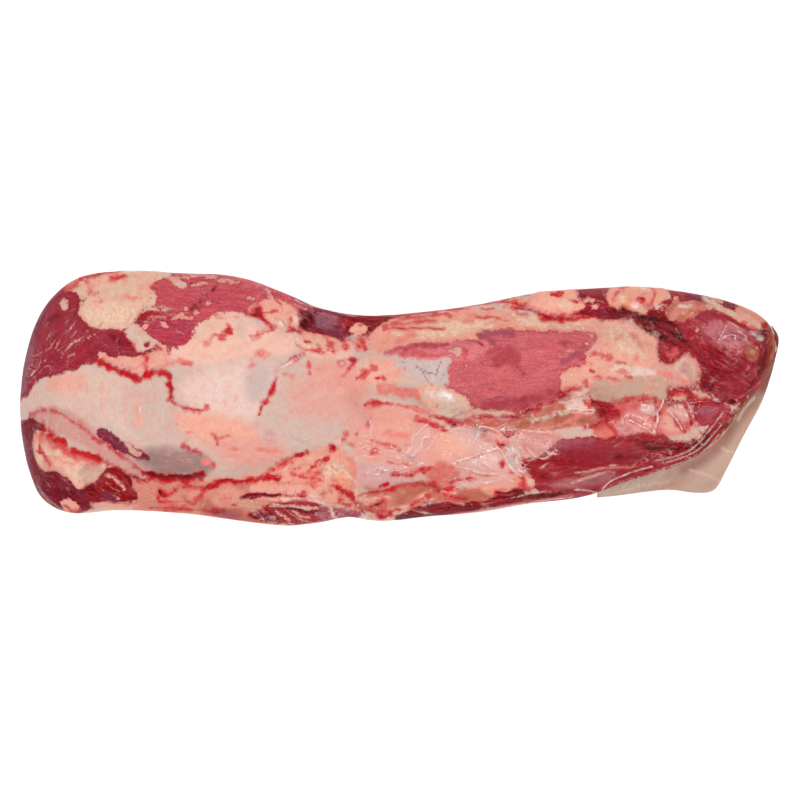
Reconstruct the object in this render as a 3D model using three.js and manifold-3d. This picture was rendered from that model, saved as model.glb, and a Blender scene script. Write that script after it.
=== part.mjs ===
// A whole beef tenderloin, untrimmed: the thick head on the left, the thin tail on the right, with the
// side strip, silver skin and fat still on. It lies on its flat side, shrunk tight in a clear bag. The
// bag's free end, past its seal, stands out round the tail as a thin crescent. Millimetres, +Z up, the
// length along X with the head at -X.
import * as THREE from 'three';
import { mergeVertices } from 'three/addons/utils/BufferGeometryUtils.js';
import Module from 'manifold-3d';

const wasm = await Module();
wasm.setup();

// Driving dimensions
const meatLength = 500;
const meatWidth = 170;
const headHeight = 61;
const headRounding = 40; // how far from its tip each end comes up to its full height
const tailRounding = 34;
const widestAt = 0.4; // share of the height at which a section is widest
const baseReach = 1.25; // the underside's arc runs this far down, and the table flattens it
const crownPower = 2.25; // 2 is an ellipse, more is boxier
const basePower = 2.7;
const filmThickness = 1.1; // the bag's two walls, welded and crumpled together
const filmLeavesAt = 15; // height at which the free film leaves the meat's side
const filmRipple = 0.9;
const clearance = 0.35; // gap between the film's free end and the meat

// Mesh density
const rings = 110;
const topSteps = 36;
const baseSteps = 14;
const flapLengthSteps = 54;
const flapWidthSteps = 8;

// A point of the plan: along is a percentage of the length from the head, across of half the width
function plan([along, across]) {
  return new THREE.Vector3((along / 100 - 0.5) * meatLength, (across / 100) * (meatWidth / 2), 0);
}

function smoothThrough(points) {
  return new THREE.CatmullRomCurve3(points.map(plan), false, 'centripetal');
}

// The meat's outline from the head's tip to the tail's tip, by the far edge and by the near edge. The
// two lists pair up: a section of the meat joins a point of one to the same point of the other.
const farEdge = smoothThrough([
  [0, -7], [0.3, 16], [1.4, 47], [3.5, 74], [7.3, 94], [13, 100], [21, 99], [29, 96], [35, 83.5],
  [39.5, 72], [43.5, 67], [47.5, 66], [53.5, 69], [61, 75], [67.5, 83], [74.5, 86.5], [81.5, 88],
  [89, 83], [95, 74], [98.6, 62], [99.8, 49], [100, 38],
]);
const nearEdge = smoothThrough([
  [0, -7], [0.3, -29], [1.2, -55], [3, -79], [6.5, -90], [13, -88], [21, -90], [29, -96], [35, -100],
  [39.5, -97.5], [43.5, -93], [47.5, -96.5], [53.5, -93], [61, -89], [67.5, -82.5], [74.5, -77.5],
  [80, -66], [86, -55], [91.5, -38], [95.5, -8], [98.5, 16], [100, 38],
]);

// Height of the crown along the length, as percentages of the length and of the head's height
const crownLine = [
  [0, 78], [6, 92], [14, 100], [24, 100], [36, 92], [48, 83],
  [64, 82], [76, 77], [86, 68], [94, 58], [100, 50],
];

// A line on the plan along which the top stands up, or with a height below 0 sinks in
function ridge(height, width, ...line) {
  return { height, width, points: line.map(plan) };
}

// Creases and hollows between the muscles
const creases = [
  ridge(-5, 8, [1, -10], [6, -9], [10, -25], [14.5, -45], [18.5, -61]), // far side of the tendon band
  ridge(-4, 8, [1, -19], [5, -38], [10, -55], [15, -65], [18.5, -70]), // its near side
  ridge(-8, 10, [17, -64], [21.5, -67], [27, -68], [32, -62], [37, -55], [41.5, -48]), // side strip
  ridge(-6, 9, [44, -85], [49.5, -74], [55.5, -68], [61, -65]),
  ridge(-4, 9, [10.5, 36], [12, 28], [15, 20], [18.5, 11], [19, -7], [22, -17]), // fold in the head
  ridge(-9, 13, [36, 68], [40, 58], [43, 53], [46.5, 48]), // hollow beside the lumps of fat
  ridge(-3, 12, [47, 40], [46.5, 20], [46, 3]), // waist
  ridge(-9, 10, [46, -3], [50, -4], [54, -12], [58, -17], [65, -14], [72, -5], [77, -11]), // under the loin
  ridge(-9, 10, [63, 76], [68, 70], [71, 63], [80, 58], [84, 50], [87, 36], [91, 18], [94, 9]), // over it
  ridge(-7, 9, [65, -40], [69, -53], [73, -61], [77, -69]), // near side of the tail
  ridge(-4, 10, [82, -17], [88.5, -5], [94, 3], [97.5, 15]), // end of the tail
];

// Muscles, lumps of fat and the side strip, which stand up between them
const swells = [
  ridge(3, 30, [7, 40], [12, 60]), // head muscle
  ridge(4, 16, [10, 76], [15, 76]), // fat pad of the head
  ridge(4, 10, [25.5, 48]), // lumps of fat along the hollow
  ridge(5, 14, [29, 57]),
  ridge(5, 12, [35.5, 51]),
  ridge(4, 11, [40, 38]),
  ridge(7, 13, [43.5, -58]), // lump of fat beside the strip
  ridge(3, 13, [5, -40], [9, -50], [12.5, -55]),
  ridge(9, 24, [53, 26], [60, 30], [71, 30], [76, 27]), // long loin muscle
  ridge(3, 11, [66, -24], [73, -21], [79, -22], [86, -22]),
  ridge(6, 17, [69.5, -46], [76, -41], [84, -43]), // thin muscle of the tail's near side
  ridge(5, 20, [85, 61], [91, 42], [95.5, 30]), // last muscle of the tail
  ridge(5, 14, [71, 76], [76, 75], [83, 78]), // fat along the tail
  ridge(4, 11, [19, -79], [26, -83], [34, -87], [41, -81]), // side strip
  ridge(3, 11, [47.5, -85], [55.5, -83], [66, -75], [74, -70]),
];

// The free film, from the far side of the tail round to the near side: the plan of its root, which is
// tucked into the meat, the plan of its edge, and the edge's height
const flapRows = [
  { root: [98, 54], edge: [99.4, 57], height: 14 },
  { root: [98.3, 46], edge: [100.3, 48], height: 12 },
  { root: [97.6, 30], edge: [99.9, 32], height: 11 },
  { root: [96.3, 17], edge: [99.1, 14], height: 9 },
  { root: [94.2, 1], edge: [98, -4], height: 6 },
  { root: [92, -15], edge: [95.7, -29], height: 3 },
  { root: [90, -27], edge: [93.4, -56], height: 1.8 },
  { root: [88.7, -34], edge: [91.8, -71.5], height: 1.6 },
  { root: [87.2, -39], edge: [89.6, -73.5], height: 1.7 },
  { root: [85, -44], edge: [86, -71], height: 2.2 },
  { root: [82.2, -51], edge: [82.2, -73], height: 2.6 },
  { root: [79, -61], edge: [79, -75.5], height: 4 },
  { root: [76.5, -68], edge: [76.2, -77], height: 9 },
];

// Height along a line of [percentage, percentage] pairs, eased between them
function easedAlong(pairs, along) {
  const last = pairs.length - 1;
  if (along <= pairs[0][0]) return pairs[0][1];
  if (along >= pairs[last][0]) return pairs[last][1];
  const next = pairs.findIndex(([at]) => at > along);
  const [from, low] = pairs[next - 1];
  const [to, high] = pairs[next];
  return THREE.MathUtils.lerp(low, high, THREE.MathUtils.smoothstep(along, from, to));
}

// Distance on the plan from a point to a line of one or more points
function distanceTo(points, place) {
  if (points.length === 1) return points[0].distanceTo(place);
  const nearest = new THREE.Vector3();
  let shortest = Infinity;
  for (let i = 1; i < points.length; i += 1) {
    new THREE.Line3(points[i - 1], points[i]).closestPointToPoint(place, true, nearest);
    shortest = Math.min(shortest, nearest.distanceTo(place));
  }
  return shortest;
}

// How far the top stands above or below its plain crown at a place on the plan
function relief(place) {
  let rise = 0;
  for (const { height, width, points } of [...creases, ...swells]) {
    rise += height * Math.exp(-((distanceTo(points, place) / width) ** 2));
  }
  return rise;
}

// Superellipse: the share of the full height that is left at a share of the half width
function archAt(side, power) {
  return Math.max(0, 1 - Math.abs(side) ** power) ** (1 / power);
}

// Steps across a section, closer at its edges than in its middle
function acrossAt(step, steps) {
  const turn = step / steps;
  return (Math.cos(Math.PI * turn) + 1 - 2 * turn) / 2;
}

// Comes up from 0 at a tip to 1 at the end of its rounding, as a quarter of a circle does
function roundedEnd(distance, rounding) {
  const left = 1 - Math.min(1, Math.max(0, distance / rounding));
  return Math.sqrt(1 - left * left);
}

// One ring of points round the meat, from the far edge over the top and back along the underside
function sectionAt(turn) {
  const far = farEdge.getPoint(turn);
  const near = nearEdge.getPoint(turn);
  const middle = far.clone().add(near).multiplyScalar(0.5);
  const half = far.clone().sub(near).multiplyScalar(0.5);
  const along = (middle.x / meatLength + 0.5) * 100;
  const crown = (easedAlong(crownLine, along) / 100) * headHeight;
  const waist = crown * widestAt;
  const fullness = roundedEnd(meatLength / 2 + middle.x, headRounding)
    * roundedEnd(meatLength / 2 - middle.x, tailRounding);
  const points = [];
  for (let step = 0; step < topSteps; step += 1) {
    const side = acrossAt(step, topSteps);
    const point = middle.clone().addScaledVector(half, side);
    const arch = archAt(side, crownPower) * fullness;
    point.z = waist + (crown - waist + relief(point)) * arch;
    points.push(point);
  }
  for (let step = 0; step < baseSteps; step += 1) {
    const side = -acrossAt(step, baseSteps);
    const point = middle.clone().addScaledVector(half, side);
    const arch = archAt(side, basePower) * fullness;
    point.z = Math.max(0, waist * (1 - baseReach * arch));
    points.push(point);
  }
  return points;
}

function tipAt(curve, turn) {
  const tip = curve.getPoint(turn);
  const along = (tip.x / meatLength + 0.5) * 100;
  tip.z = (easedAlong(crownLine, along) / 100) * headHeight * widestAt;
  return tip;
}

function geometryFrom(points, faces) {
  const geometry = new THREE.BufferGeometry();
  geometry.setAttribute('position', new THREE.Float32BufferAttribute(points.flatMap((p) => p.toArray()), 3));
  geometry.setIndex(faces);
  return geometry;
}

// The meat: rings of points from tip to tip, spaced evenly along the far edge
function meatGeometry() {
  const around = topSteps + baseSteps;
  const points = [tipAt(farEdge, 0)];
  const faces = [];
  for (let ring = 1; ring < rings; ring += 1) {
    points.push(...sectionAt(farEdge.getUtoTmapping(ring / rings)));
  }
  points.push(tipAt(farEdge, 1));
  const tail = points.length - 1;
  const lastRing = tail - around;
  for (let step = 0; step < around; step += 1) {
    const next = (step + 1) % around;
    faces.push(0, 1 + next, 1 + step);
    for (let start = 1; start < lastRing; start += around) {
      faces.push(start + step, start + around + next, start + around + step);
      faces.push(start + step, start + next, start + around + next);
    }
    faces.push(tail, lastRing + step, lastRing + next);
  }
  return geometryFrom(points, faces);
}

// A thin closed sheet: a grid of points given by place(u, v), with a wall on each side of it
function sheetGeometry(place, lengthSteps, widthSteps, thickness) {
  const row = widthSteps + 1;
  const count = (lengthSteps + 1) * row;
  const top = [];
  const base = [];
  const nudge = 1e-3;
  for (let i = 0; i <= lengthSteps; i += 1) {
    for (let j = 0; j <= widthSteps; j += 1) {
      const u = i / lengthSteps;
      const v = j / widthSteps;
      const alongEdge = place(Math.min(1, u + nudge), v).sub(place(Math.max(0, u - nudge), v));
      const outwards = place(u, Math.min(1, v + nudge)).sub(place(u, Math.max(0, v - nudge)));
      const up = outwards.cross(alongEdge).normalize();
      top.push(place(u, v).addScaledVector(up, thickness / 2));
      base.push(place(u, v).addScaledVector(up, -thickness / 2));
    }
  }
  const faces = [];
  const quad = (a, b, c, d) => faces.push(a, b, c, a, c, d);
  for (let i = 0; i < lengthSteps; i += 1) {
    const here = i * row;
    const ahead = here + row;
    for (let j = 0; j < widthSteps; j += 1) {
      quad(here + j, here + j + 1, ahead + j + 1, ahead + j);
      quad(count + here + j, count + ahead + j, count + ahead + j + 1, count + here + j + 1);
    }
    quad(here, ahead, count + ahead, count + here);
    quad(here + widthSteps, count + here + widthSteps, count + ahead + widthSteps, ahead + widthSteps);
  }
  for (let j = 0; j < widthSteps; j += 1) {
    const end = lengthSteps * row + j;
    quad(j, count + j, count + j + 1, j + 1);
    quad(end, end + 1, count + end + 1, count + end);
  }
  return geometryFrom([...top, ...base], faces);
}

// The free film falls from the meat's side to its edge, near the table, with slack ripples
const flapRoot = smoothThrough(flapRows.map((row) => row.root));
const flapEdge = smoothThrough(flapRows.map((row) => row.edge));
const flapEdgeHeights = flapRows.map((row, index) => [(index / (flapRows.length - 1)) * 100, row.height]);

function flapPlace(u, v) {
  const point = flapRoot.getPoint(u).lerp(flapEdge.getPoint(u), v);
  const edgeHeight = easedAlong(flapEdgeHeights, u * 100);
  const ripple = filmRipple * Math.sin(Math.PI * v) * Math.sin(26 * u + 3 * v);
  point.z = edgeHeight + (filmLeavesAt - edgeHeight) * (1 - v) ** 1.5 + ripple;
  return point;
}

function weldedGeometry(geometry) {
  const bare = geometry.clone();
  bare.deleteAttribute('normal');
  bare.deleteAttribute('uv');
  return mergeVertices(bare, 1e-4);
}

function solidFrom(geometry) {
  const welded = weldedGeometry(geometry);
  return new wasm.Manifold(new wasm.Mesh({
    numProp: 3,
    vertProperties: new Float32Array(welded.attributes.position.array),
    triVerts: new Uint32Array(welded.index.array),
  }));
}

function geometryOf(solid) {
  const mesh = solid.getMesh();
  const geometry = new THREE.BufferGeometry();
  geometry.setAttribute('position', new THREE.BufferAttribute(mesh.vertProperties, 3));
  geometry.setIndex(new THREE.BufferAttribute(mesh.triVerts, 1));
  return geometry;
}

// The same closed shape with each point moved out along its normal
function swollen(geometry, distance) {
  const grown = weldedGeometry(geometry);
  grown.computeVertexNormals();
  const { position, normal } = grown.attributes;
  for (let i = 0; i < position.count; i += 1) {
    position.setXYZ(
      i,
      position.getX(i) + normal.getX(i) * distance,
      position.getY(i) + normal.getY(i) * distance,
      position.getZ(i) + normal.getZ(i) * distance,
    );
  }
  return grown;
}

const meatShape = meatGeometry();
const flapSheet = sheetGeometry(flapPlace, flapLengthSteps, flapWidthSteps, filmThickness);
const flapSolid = solidFrom(flapSheet).subtract(solidFrom(swollen(meatShape, clearance)));

const meatFinish = new THREE.MeshStandardMaterial({ color: 0xb8565c, roughness: 0.35, metalness: 0 });
const filmFinish = new THREE.MeshStandardMaterial({
  color: 0xc8a894, roughness: 0.15, metalness: 0, transparent: true, opacity: 0.6,
});

const tenderloin = new THREE.Mesh(meatShape, meatFinish);
tenderloin.name = 'tenderloin';
const vacuumBag = new THREE.Mesh(geometryOf(flapSolid), filmFinish);
vacuumBag.name = 'vacuum_bag';

// The origin is under the middle of the whole part, on the table
const pack = new THREE.Group();
pack.add(tenderloin, vacuumBag);
const reach = new THREE.Box3().setFromObject(pack);
const middle = reach.getCenter(new THREE.Vector3());
pack.position.set(-middle.x, -middle.y, -reach.min.z);

export default pack;
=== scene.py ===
import math
from functools import partial
import bpy
import numpy as np
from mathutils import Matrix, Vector, noise


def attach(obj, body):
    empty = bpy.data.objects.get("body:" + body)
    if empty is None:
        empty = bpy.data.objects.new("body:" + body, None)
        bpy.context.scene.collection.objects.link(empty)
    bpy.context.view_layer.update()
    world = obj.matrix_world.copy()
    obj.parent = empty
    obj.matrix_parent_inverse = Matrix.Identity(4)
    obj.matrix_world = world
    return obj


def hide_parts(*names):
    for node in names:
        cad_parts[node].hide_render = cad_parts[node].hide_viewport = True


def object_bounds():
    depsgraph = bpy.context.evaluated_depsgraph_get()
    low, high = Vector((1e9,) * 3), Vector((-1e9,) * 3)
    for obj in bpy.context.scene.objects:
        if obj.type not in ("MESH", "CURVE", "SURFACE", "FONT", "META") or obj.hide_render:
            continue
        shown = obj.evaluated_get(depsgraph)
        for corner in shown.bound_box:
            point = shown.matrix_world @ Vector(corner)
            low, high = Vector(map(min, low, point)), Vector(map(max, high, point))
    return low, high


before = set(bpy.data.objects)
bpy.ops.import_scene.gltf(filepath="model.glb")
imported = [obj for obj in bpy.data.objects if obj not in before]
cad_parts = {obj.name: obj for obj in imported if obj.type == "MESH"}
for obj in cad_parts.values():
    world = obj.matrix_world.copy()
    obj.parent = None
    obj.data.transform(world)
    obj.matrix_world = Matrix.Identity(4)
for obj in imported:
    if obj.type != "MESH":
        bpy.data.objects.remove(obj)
cadLow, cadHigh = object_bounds()
scene = bpy.context.scene
bpy.ops.object.select_all(action="DESELECT")

millimetre = 0.001

# The photo looks straight down. Every drawn outline below is in the photo's pixels. These are the
# part's left end, right end and middle row there and the photo's side, then the camera's height and the
# height that is drawn to scale, in metres.
photo = {"left": 19.6, "right": 779.4, "middleRow": 398.5, "side": 800, "height": 9.0, "sharpAt": 0.02}
pixel = (cadHigh.x - cadLow.x) / (photo["right"] - photo["left"])
middleY = (cadHigh.y + cadLow.y) / 2

# Finishes of raw beef, fat, silver skin and wet film, 0 to 255, as they look in plain soft light. A few
# stand in for light: painted shade in crevices and creases, and a painted sheen of the film
finishes = {
    "belowPad": (184, 70, 86), "headRed": (158, 54, 67), "roseRed": (202, 88, 98),
    "loinRed": (208, 104, 110), "tailRed": (152, 50, 60), "tailRose": (168, 62, 72),
    "deepRose": (162, 54, 62), "darkRed": (122, 38, 48), "deepRed": (124, 42, 52),
    "brightRed": (176, 46, 54), "plum": (134, 54, 72), "psoasRed": (222, 124, 130),
    "stripRed": (168, 60, 66), "brownRed": (136, 40, 44), "purpleRed": (170, 86, 100),
    "cream": (234, 193, 169), "greyCream": (219, 191, 174), "peachCream": (238, 176, 156),
    "pinkCream": (240, 172, 155), "orangeCream": (237, 168, 146), "stripFat": (212, 144, 122),
    "blockTan": (200, 168, 148), "loinDark": (186, 78, 88), "ovalRed": (146, 34, 42),
    "creasePurple": (84, 26, 44), "pearlPink": (210, 156, 147), "rosyFilm": (196, 116, 120),
    "orange": (238, 150, 116), "tan": (184, 108, 88), "tendon": (214, 187, 165), "silver": (215, 187, 174),
    "silverPale": (224, 194, 180), "coolPale": (210, 188, 182), "blueGrey": (160, 130, 126),
    "greyPearl": (196, 174, 170), "palePearl": (238, 207, 195), "salmon": (234, 136, 126),
    "pinkWash": (230, 172, 160), "peachPink": (234, 166, 152), "warmFat": (246, 179, 157),
    "lavender": (220, 166, 164), "peachRed": (222, 120, 108), "pinkLight": (230, 149, 141),
    "wetRed": (196, 76, 74), "redPink": (212, 96, 94), "marbling": (222, 166, 152), "juice": (142, 62, 42),
    # The darkest red is painted shade deep in crevices and seams, with the dark blood there
    "blood": (204, 44, 58), "clotRed": (96, 8, 26), "crevice": (62, 8, 26), "white": (252, 246, 242),
    "filmTan": (206, 168, 148), "palePeach": (244, 196, 178), "rosyFat": (218, 136, 125),
    "mauve": (150, 98, 108),
}


def linearColour(name):
    channels = [channel / 255 for channel in finishes[name]]
    return np.array([c / 12.92 if c <= 0.04045 else ((c + 0.055) / 1.055) ** 2.4 for c in channels])


def onPlan(column, row):
    x = cadLow.x + (column - photo["left"]) * pixel
    return x, middleY - (row - photo["middleRow"]) * pixel


def pixelsOf(places):
    middle = np.array(onPlan(photo["side"] / 2, photo["side"] / 2))
    nearer = (photo["height"] - photo["sharpAt"]) / (photo["height"] - places[:, 2:3])
    offset = (places[:, :2] - middle) * nearer / pixel
    return photo["side"] / 2 + offset * np.array([1.0, -1.0])


def smoothStep(low, high, values):
    share = np.clip((values - low) / (high - low), 0, 1)
    return share * share * (3 - 2 * share)


def cutCorners(points, closed, rounds=2, cut=0.25):
    line = np.array(points, float)
    for _ in range(rounds):
        ahead = np.roll(line, -1, 0) if closed else line[1:]
        behind = line if closed else line[:-1]
        corners = np.stack([behind * (1 - cut) + ahead * cut, behind * cut + ahead * (1 - cut)], 1)
        corners = corners.reshape(-1, 2)
        line = corners if closed else np.vstack([line[:1], corners, line[-1:]])
    return line


def ellipse(column, row, across, tall, turn=0, count=12):
    angles = np.arange(count) * 2 * math.pi / count
    cosTurn, sinTurn = math.cos(math.radians(turn)), math.sin(math.radians(turn))
    u, v = across / 2 * np.cos(angles), tall / 2 * np.sin(angles)
    return np.stack([column + u * cosTurn - v * sinTurn, row + u * sinTurn + v * cosTurn], 1)


def drawn(kind, finish, line, closed, width, soft, lift):
    return {"kind": kind, "finish": finish, "line": line, "closed": closed, "width": width, "soft": soft,
            "lift": lift}


def patch(kind, finish, points, soft=1.5, lift=0.0):
    return drawn(kind, finish, cutCorners(points, True), True, 0.0, soft, lift)


def spot(kind, finish, column, row, across, tall, soft=1.5, turn=0, lift=0.0):
    return drawn(kind, finish, ellipse(column, row, across, tall, turn), True, 0.0, soft, lift)


def streak(kind, finish, width, points, soft=1.2, lift=0.0):
    return drawn(kind, finish, cutCorners(points, False), False, width, soft, lift)


# A mark's outline and softness are in pixels, and its lift off the meat is in mm. A wash colours the
# silver skin. Lean, fat and blood lie over it with an edge, and stains tint all of them.
wash, flesh = partial(patch, "wash"), partial(patch, "lean")
pad, shade = partial(patch, "fat"), partial(patch, "stain")
lump, clot, stain = partial(spot, "fat"), partial(spot, "blood"), partial(spot, "stain")
strand, vein, smear = partial(streak, "fat"), partial(streak, "blood"), partial(streak, "stain")


def several(shape, finish, places):
    return [shape(finish, *place) for place in places]


# How a stroke's length, bend and width vary, as shares of what its list says
strokeChance = {"length": (0.4, 1.5), "bend": 0.13, "width": (0.6, 1.4), "soft": 1.0}


def strokes(area, finish, strength, width, count, degrees, length, spread):
    chance = np.random.default_rng(len(area) + count * 7 + int(area[0][0] + area[1][1] * 3 + length))
    made = []
    for _ in range(count):
        start = chance.uniform(area[0], area[1])
        angle = math.radians(chance.normal(degrees, spread))
        reach = length * chance.uniform(*strokeChance["length"])
        step = np.array([math.cos(angle), -math.sin(angle)]) * reach
        middle = start + step / 2 + chance.normal(0, strokeChance["bend"], 2) * reach
        thick = width * chance.uniform(*strokeChance["width"])
        made.append(smear(finish, thick, [start, middle, start + step], strokeChance["soft"]))
        made[-1]["strength"] = strength
    return made


# Thick head, upper left: top muscles, the fat pad and the torn sheet of silver skin
headMarks = [
    wash("silverPale", [(24, 392), (60, 372), (100, 366), (140, 380), (150, 420), (140, 455), (90, 430),
        (50, 408), (28, 412)], 10),
    flesh("headRed", [(10, 400), (14, 340), (36, 296), (66, 262), (160, 250), (166, 322), (158, 330),
        (160, 345), (150, 350), (136, 357), (118, 357), (110, 360), (101, 354), (97, 362), (88, 363),
        (72, 369), (53, 376), (40, 377), (30, 389), (24, 400)], lift=0.4),
    flesh("roseRed", [(150, 250), (240, 250), (300, 262), (306, 300), (276, 300), (256, 298), (248, 306),
        (242, 313), (234, 309), (226, 311), (209, 316), (196, 323), (191, 332), (190, 341), (176, 346),
        (163, 350), (150, 341), (146, 330), (160, 310), (152, 292)], lift=0.4),
    flesh("belowPad", [(142, 322), (168, 318), (190, 322), (192, 336), (180, 345), (163, 350),
        (150, 338)], 3),
    # Painted shade: darker towards the left edge, where the meat turns away; the mauve also holds a painted
    # film sheen
    smear("deepRed", 6, [(24, 372), (28, 346), (42, 312), (58, 288)], 4),
    smear("plum", 4, [(22, 392), (24, 366), (33, 334), (48, 306)], 3),
    smear("mauve", 4, [(24, 392), (26, 370), (31, 350)], 4), stain("redPink", 72, 286, 16, 9, 4, -40),
    stain("brightRed", 52, 345, 14, 5, 9, -45), stain("deepRed", 116, 340, 14, 6, 6, 40),
    stain("deepRed", 54, 318, 18, 4, 3, -45), smear("deepRed", 2, [(200, 300), (212, 290), (218, 284)], 5),
    stain("deepRed", 196, 308, 10, 4, 5, -20),
    pad("cream", [(64, 290), (74, 279), (84, 276), (106, 270), (134, 268), (168, 268), (172, 276),
        (164, 278), (153, 283), (149, 288), (155, 291), (157, 299), (155, 305), (143, 309), (137, 316),
        (136, 323), (125, 328), (113, 328), (101, 329), (91, 326), (82, 319), (78, 312), (82, 304),
        (80, 298), (76, 292)], 1.2, 1.3),
    shade("cream", [(84, 312), (106, 300), (136, 304), (134, 322), (104, 328), (90, 322)], 8),
    stain("salmon", 90, 289, 9, 13, 5, -30), stain("pinkCream", 98, 281, 14, 8, 5, -10),
    stain("salmon", 114, 279, 9, 12, 4, 60), stain("salmon", 130, 297, 14, 6, 5, 8),
    stain("pinkCream", 96, 304, 14, 10, 6), stain("pinkCream", 146, 283, 14, 8, 6, -30),
    stain("greyCream", 164, 274, 14, 5, 4),
    vein("deepRed", 2.4, [(80, 279), (92, 275), (104, 272), (121, 270.5)]),
    vein("blood", 1.8, [(112, 277), (119, 278), (124, 275)]),
    lump("greyCream", 64.3, 305, 7, 10, 1, -10, 0.5),
    pad("greyCream", [(133, 323), (124, 330), (128, 338), (133, 346), (137, 353), (148, 349), (157, 345),
        (150, 335), (142, 328)], 1.2, 0.6),
    stain("headRed", 147, 344, 8, 5, 2, -35),
    vein("clotRed", 1.2, [(122, 333), (128, 342), (134, 351)], lift=-0.6),
    *several(strand, "tendon", [(2, [(141, 329), (147, 335), (154, 343), (165, 348)], 1, 0.3),
        (1.6, [(143, 312), (150, 308), (167, 311)], 1), (1.4, [(147, 318), (156, 316), (166, 318)], 1)]),
    vein("clotRed", 1.4, [(140, 317), (150, 313), (168, 316)]), lump("peachCream", 145, 326, 6, 5, 1, 30),
    lump("marbling", 164, 325, 9, 4, 1, 30),
    pad("greyCream", [(166, 275), (176, 277), (188, 284), (184, 288), (173, 285)], 1.2),
    *several(lump, "marbling", [(180, 316, 9, 4, 1, -20), (187, 309, 4, 3, 1), (196, 313, 6, 3, 1, 10),
        (208, 303, 4, 4, 1)]),
    # The strands along the top edge are partly marbling and partly the painted highlight line of the film
    # there
    *several(strand, "marbling", [(1.3, [(172, 319), (182, 317), (192, 318)]), (0.9, [(172, 278),
        (190, 275), (216, 277)]), (0.9, [(218, 281), (228, 280), (238, 282)]), (0.9, [(193, 285),
        (206, 283)])]),
    # The strand here is partly marbling and partly the painted glint line of the film ridge over it
    lump("marbling", 250, 298, 10, 2.4, 1, 5), strand("marbling", 0.8, [(266, 288), (270, 296), (274, 300)]),
]

# Flecks and threads of marbling in the head, the threads with three points
headFlecks = [
    [(64, 354), (71, 345), (82, 337.5)], [(47, 352), (56, 340)], [(54, 349), (59, 343)],
    [(57, 351), (63, 347)], [(68, 358), (69, 356), (74, 353)], [(62, 335), (68, 330)],
    [(70, 329), (77, 323)], [(65, 323), (69, 319)], [(32, 375), (37, 369), (41, 363)],
    [(41, 371), (50, 365)], [(44, 362), (47, 359)], [(52, 334), (57, 330)], [(36, 364), (38, 360)],
    [(76, 343), (80, 341)], [(60, 341), (63, 337)], [(73, 335), (78, 330)], [(46, 340), (49, 336)],
    [(87, 338), (95, 335)], [(50, 366), (53, 372)], [(84, 333), (90, 330)],
]
headMarks += [smear("marbling", 1.2 if len(line) > 2 else 0.6, line, 0.9) for line in headFlecks]

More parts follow.
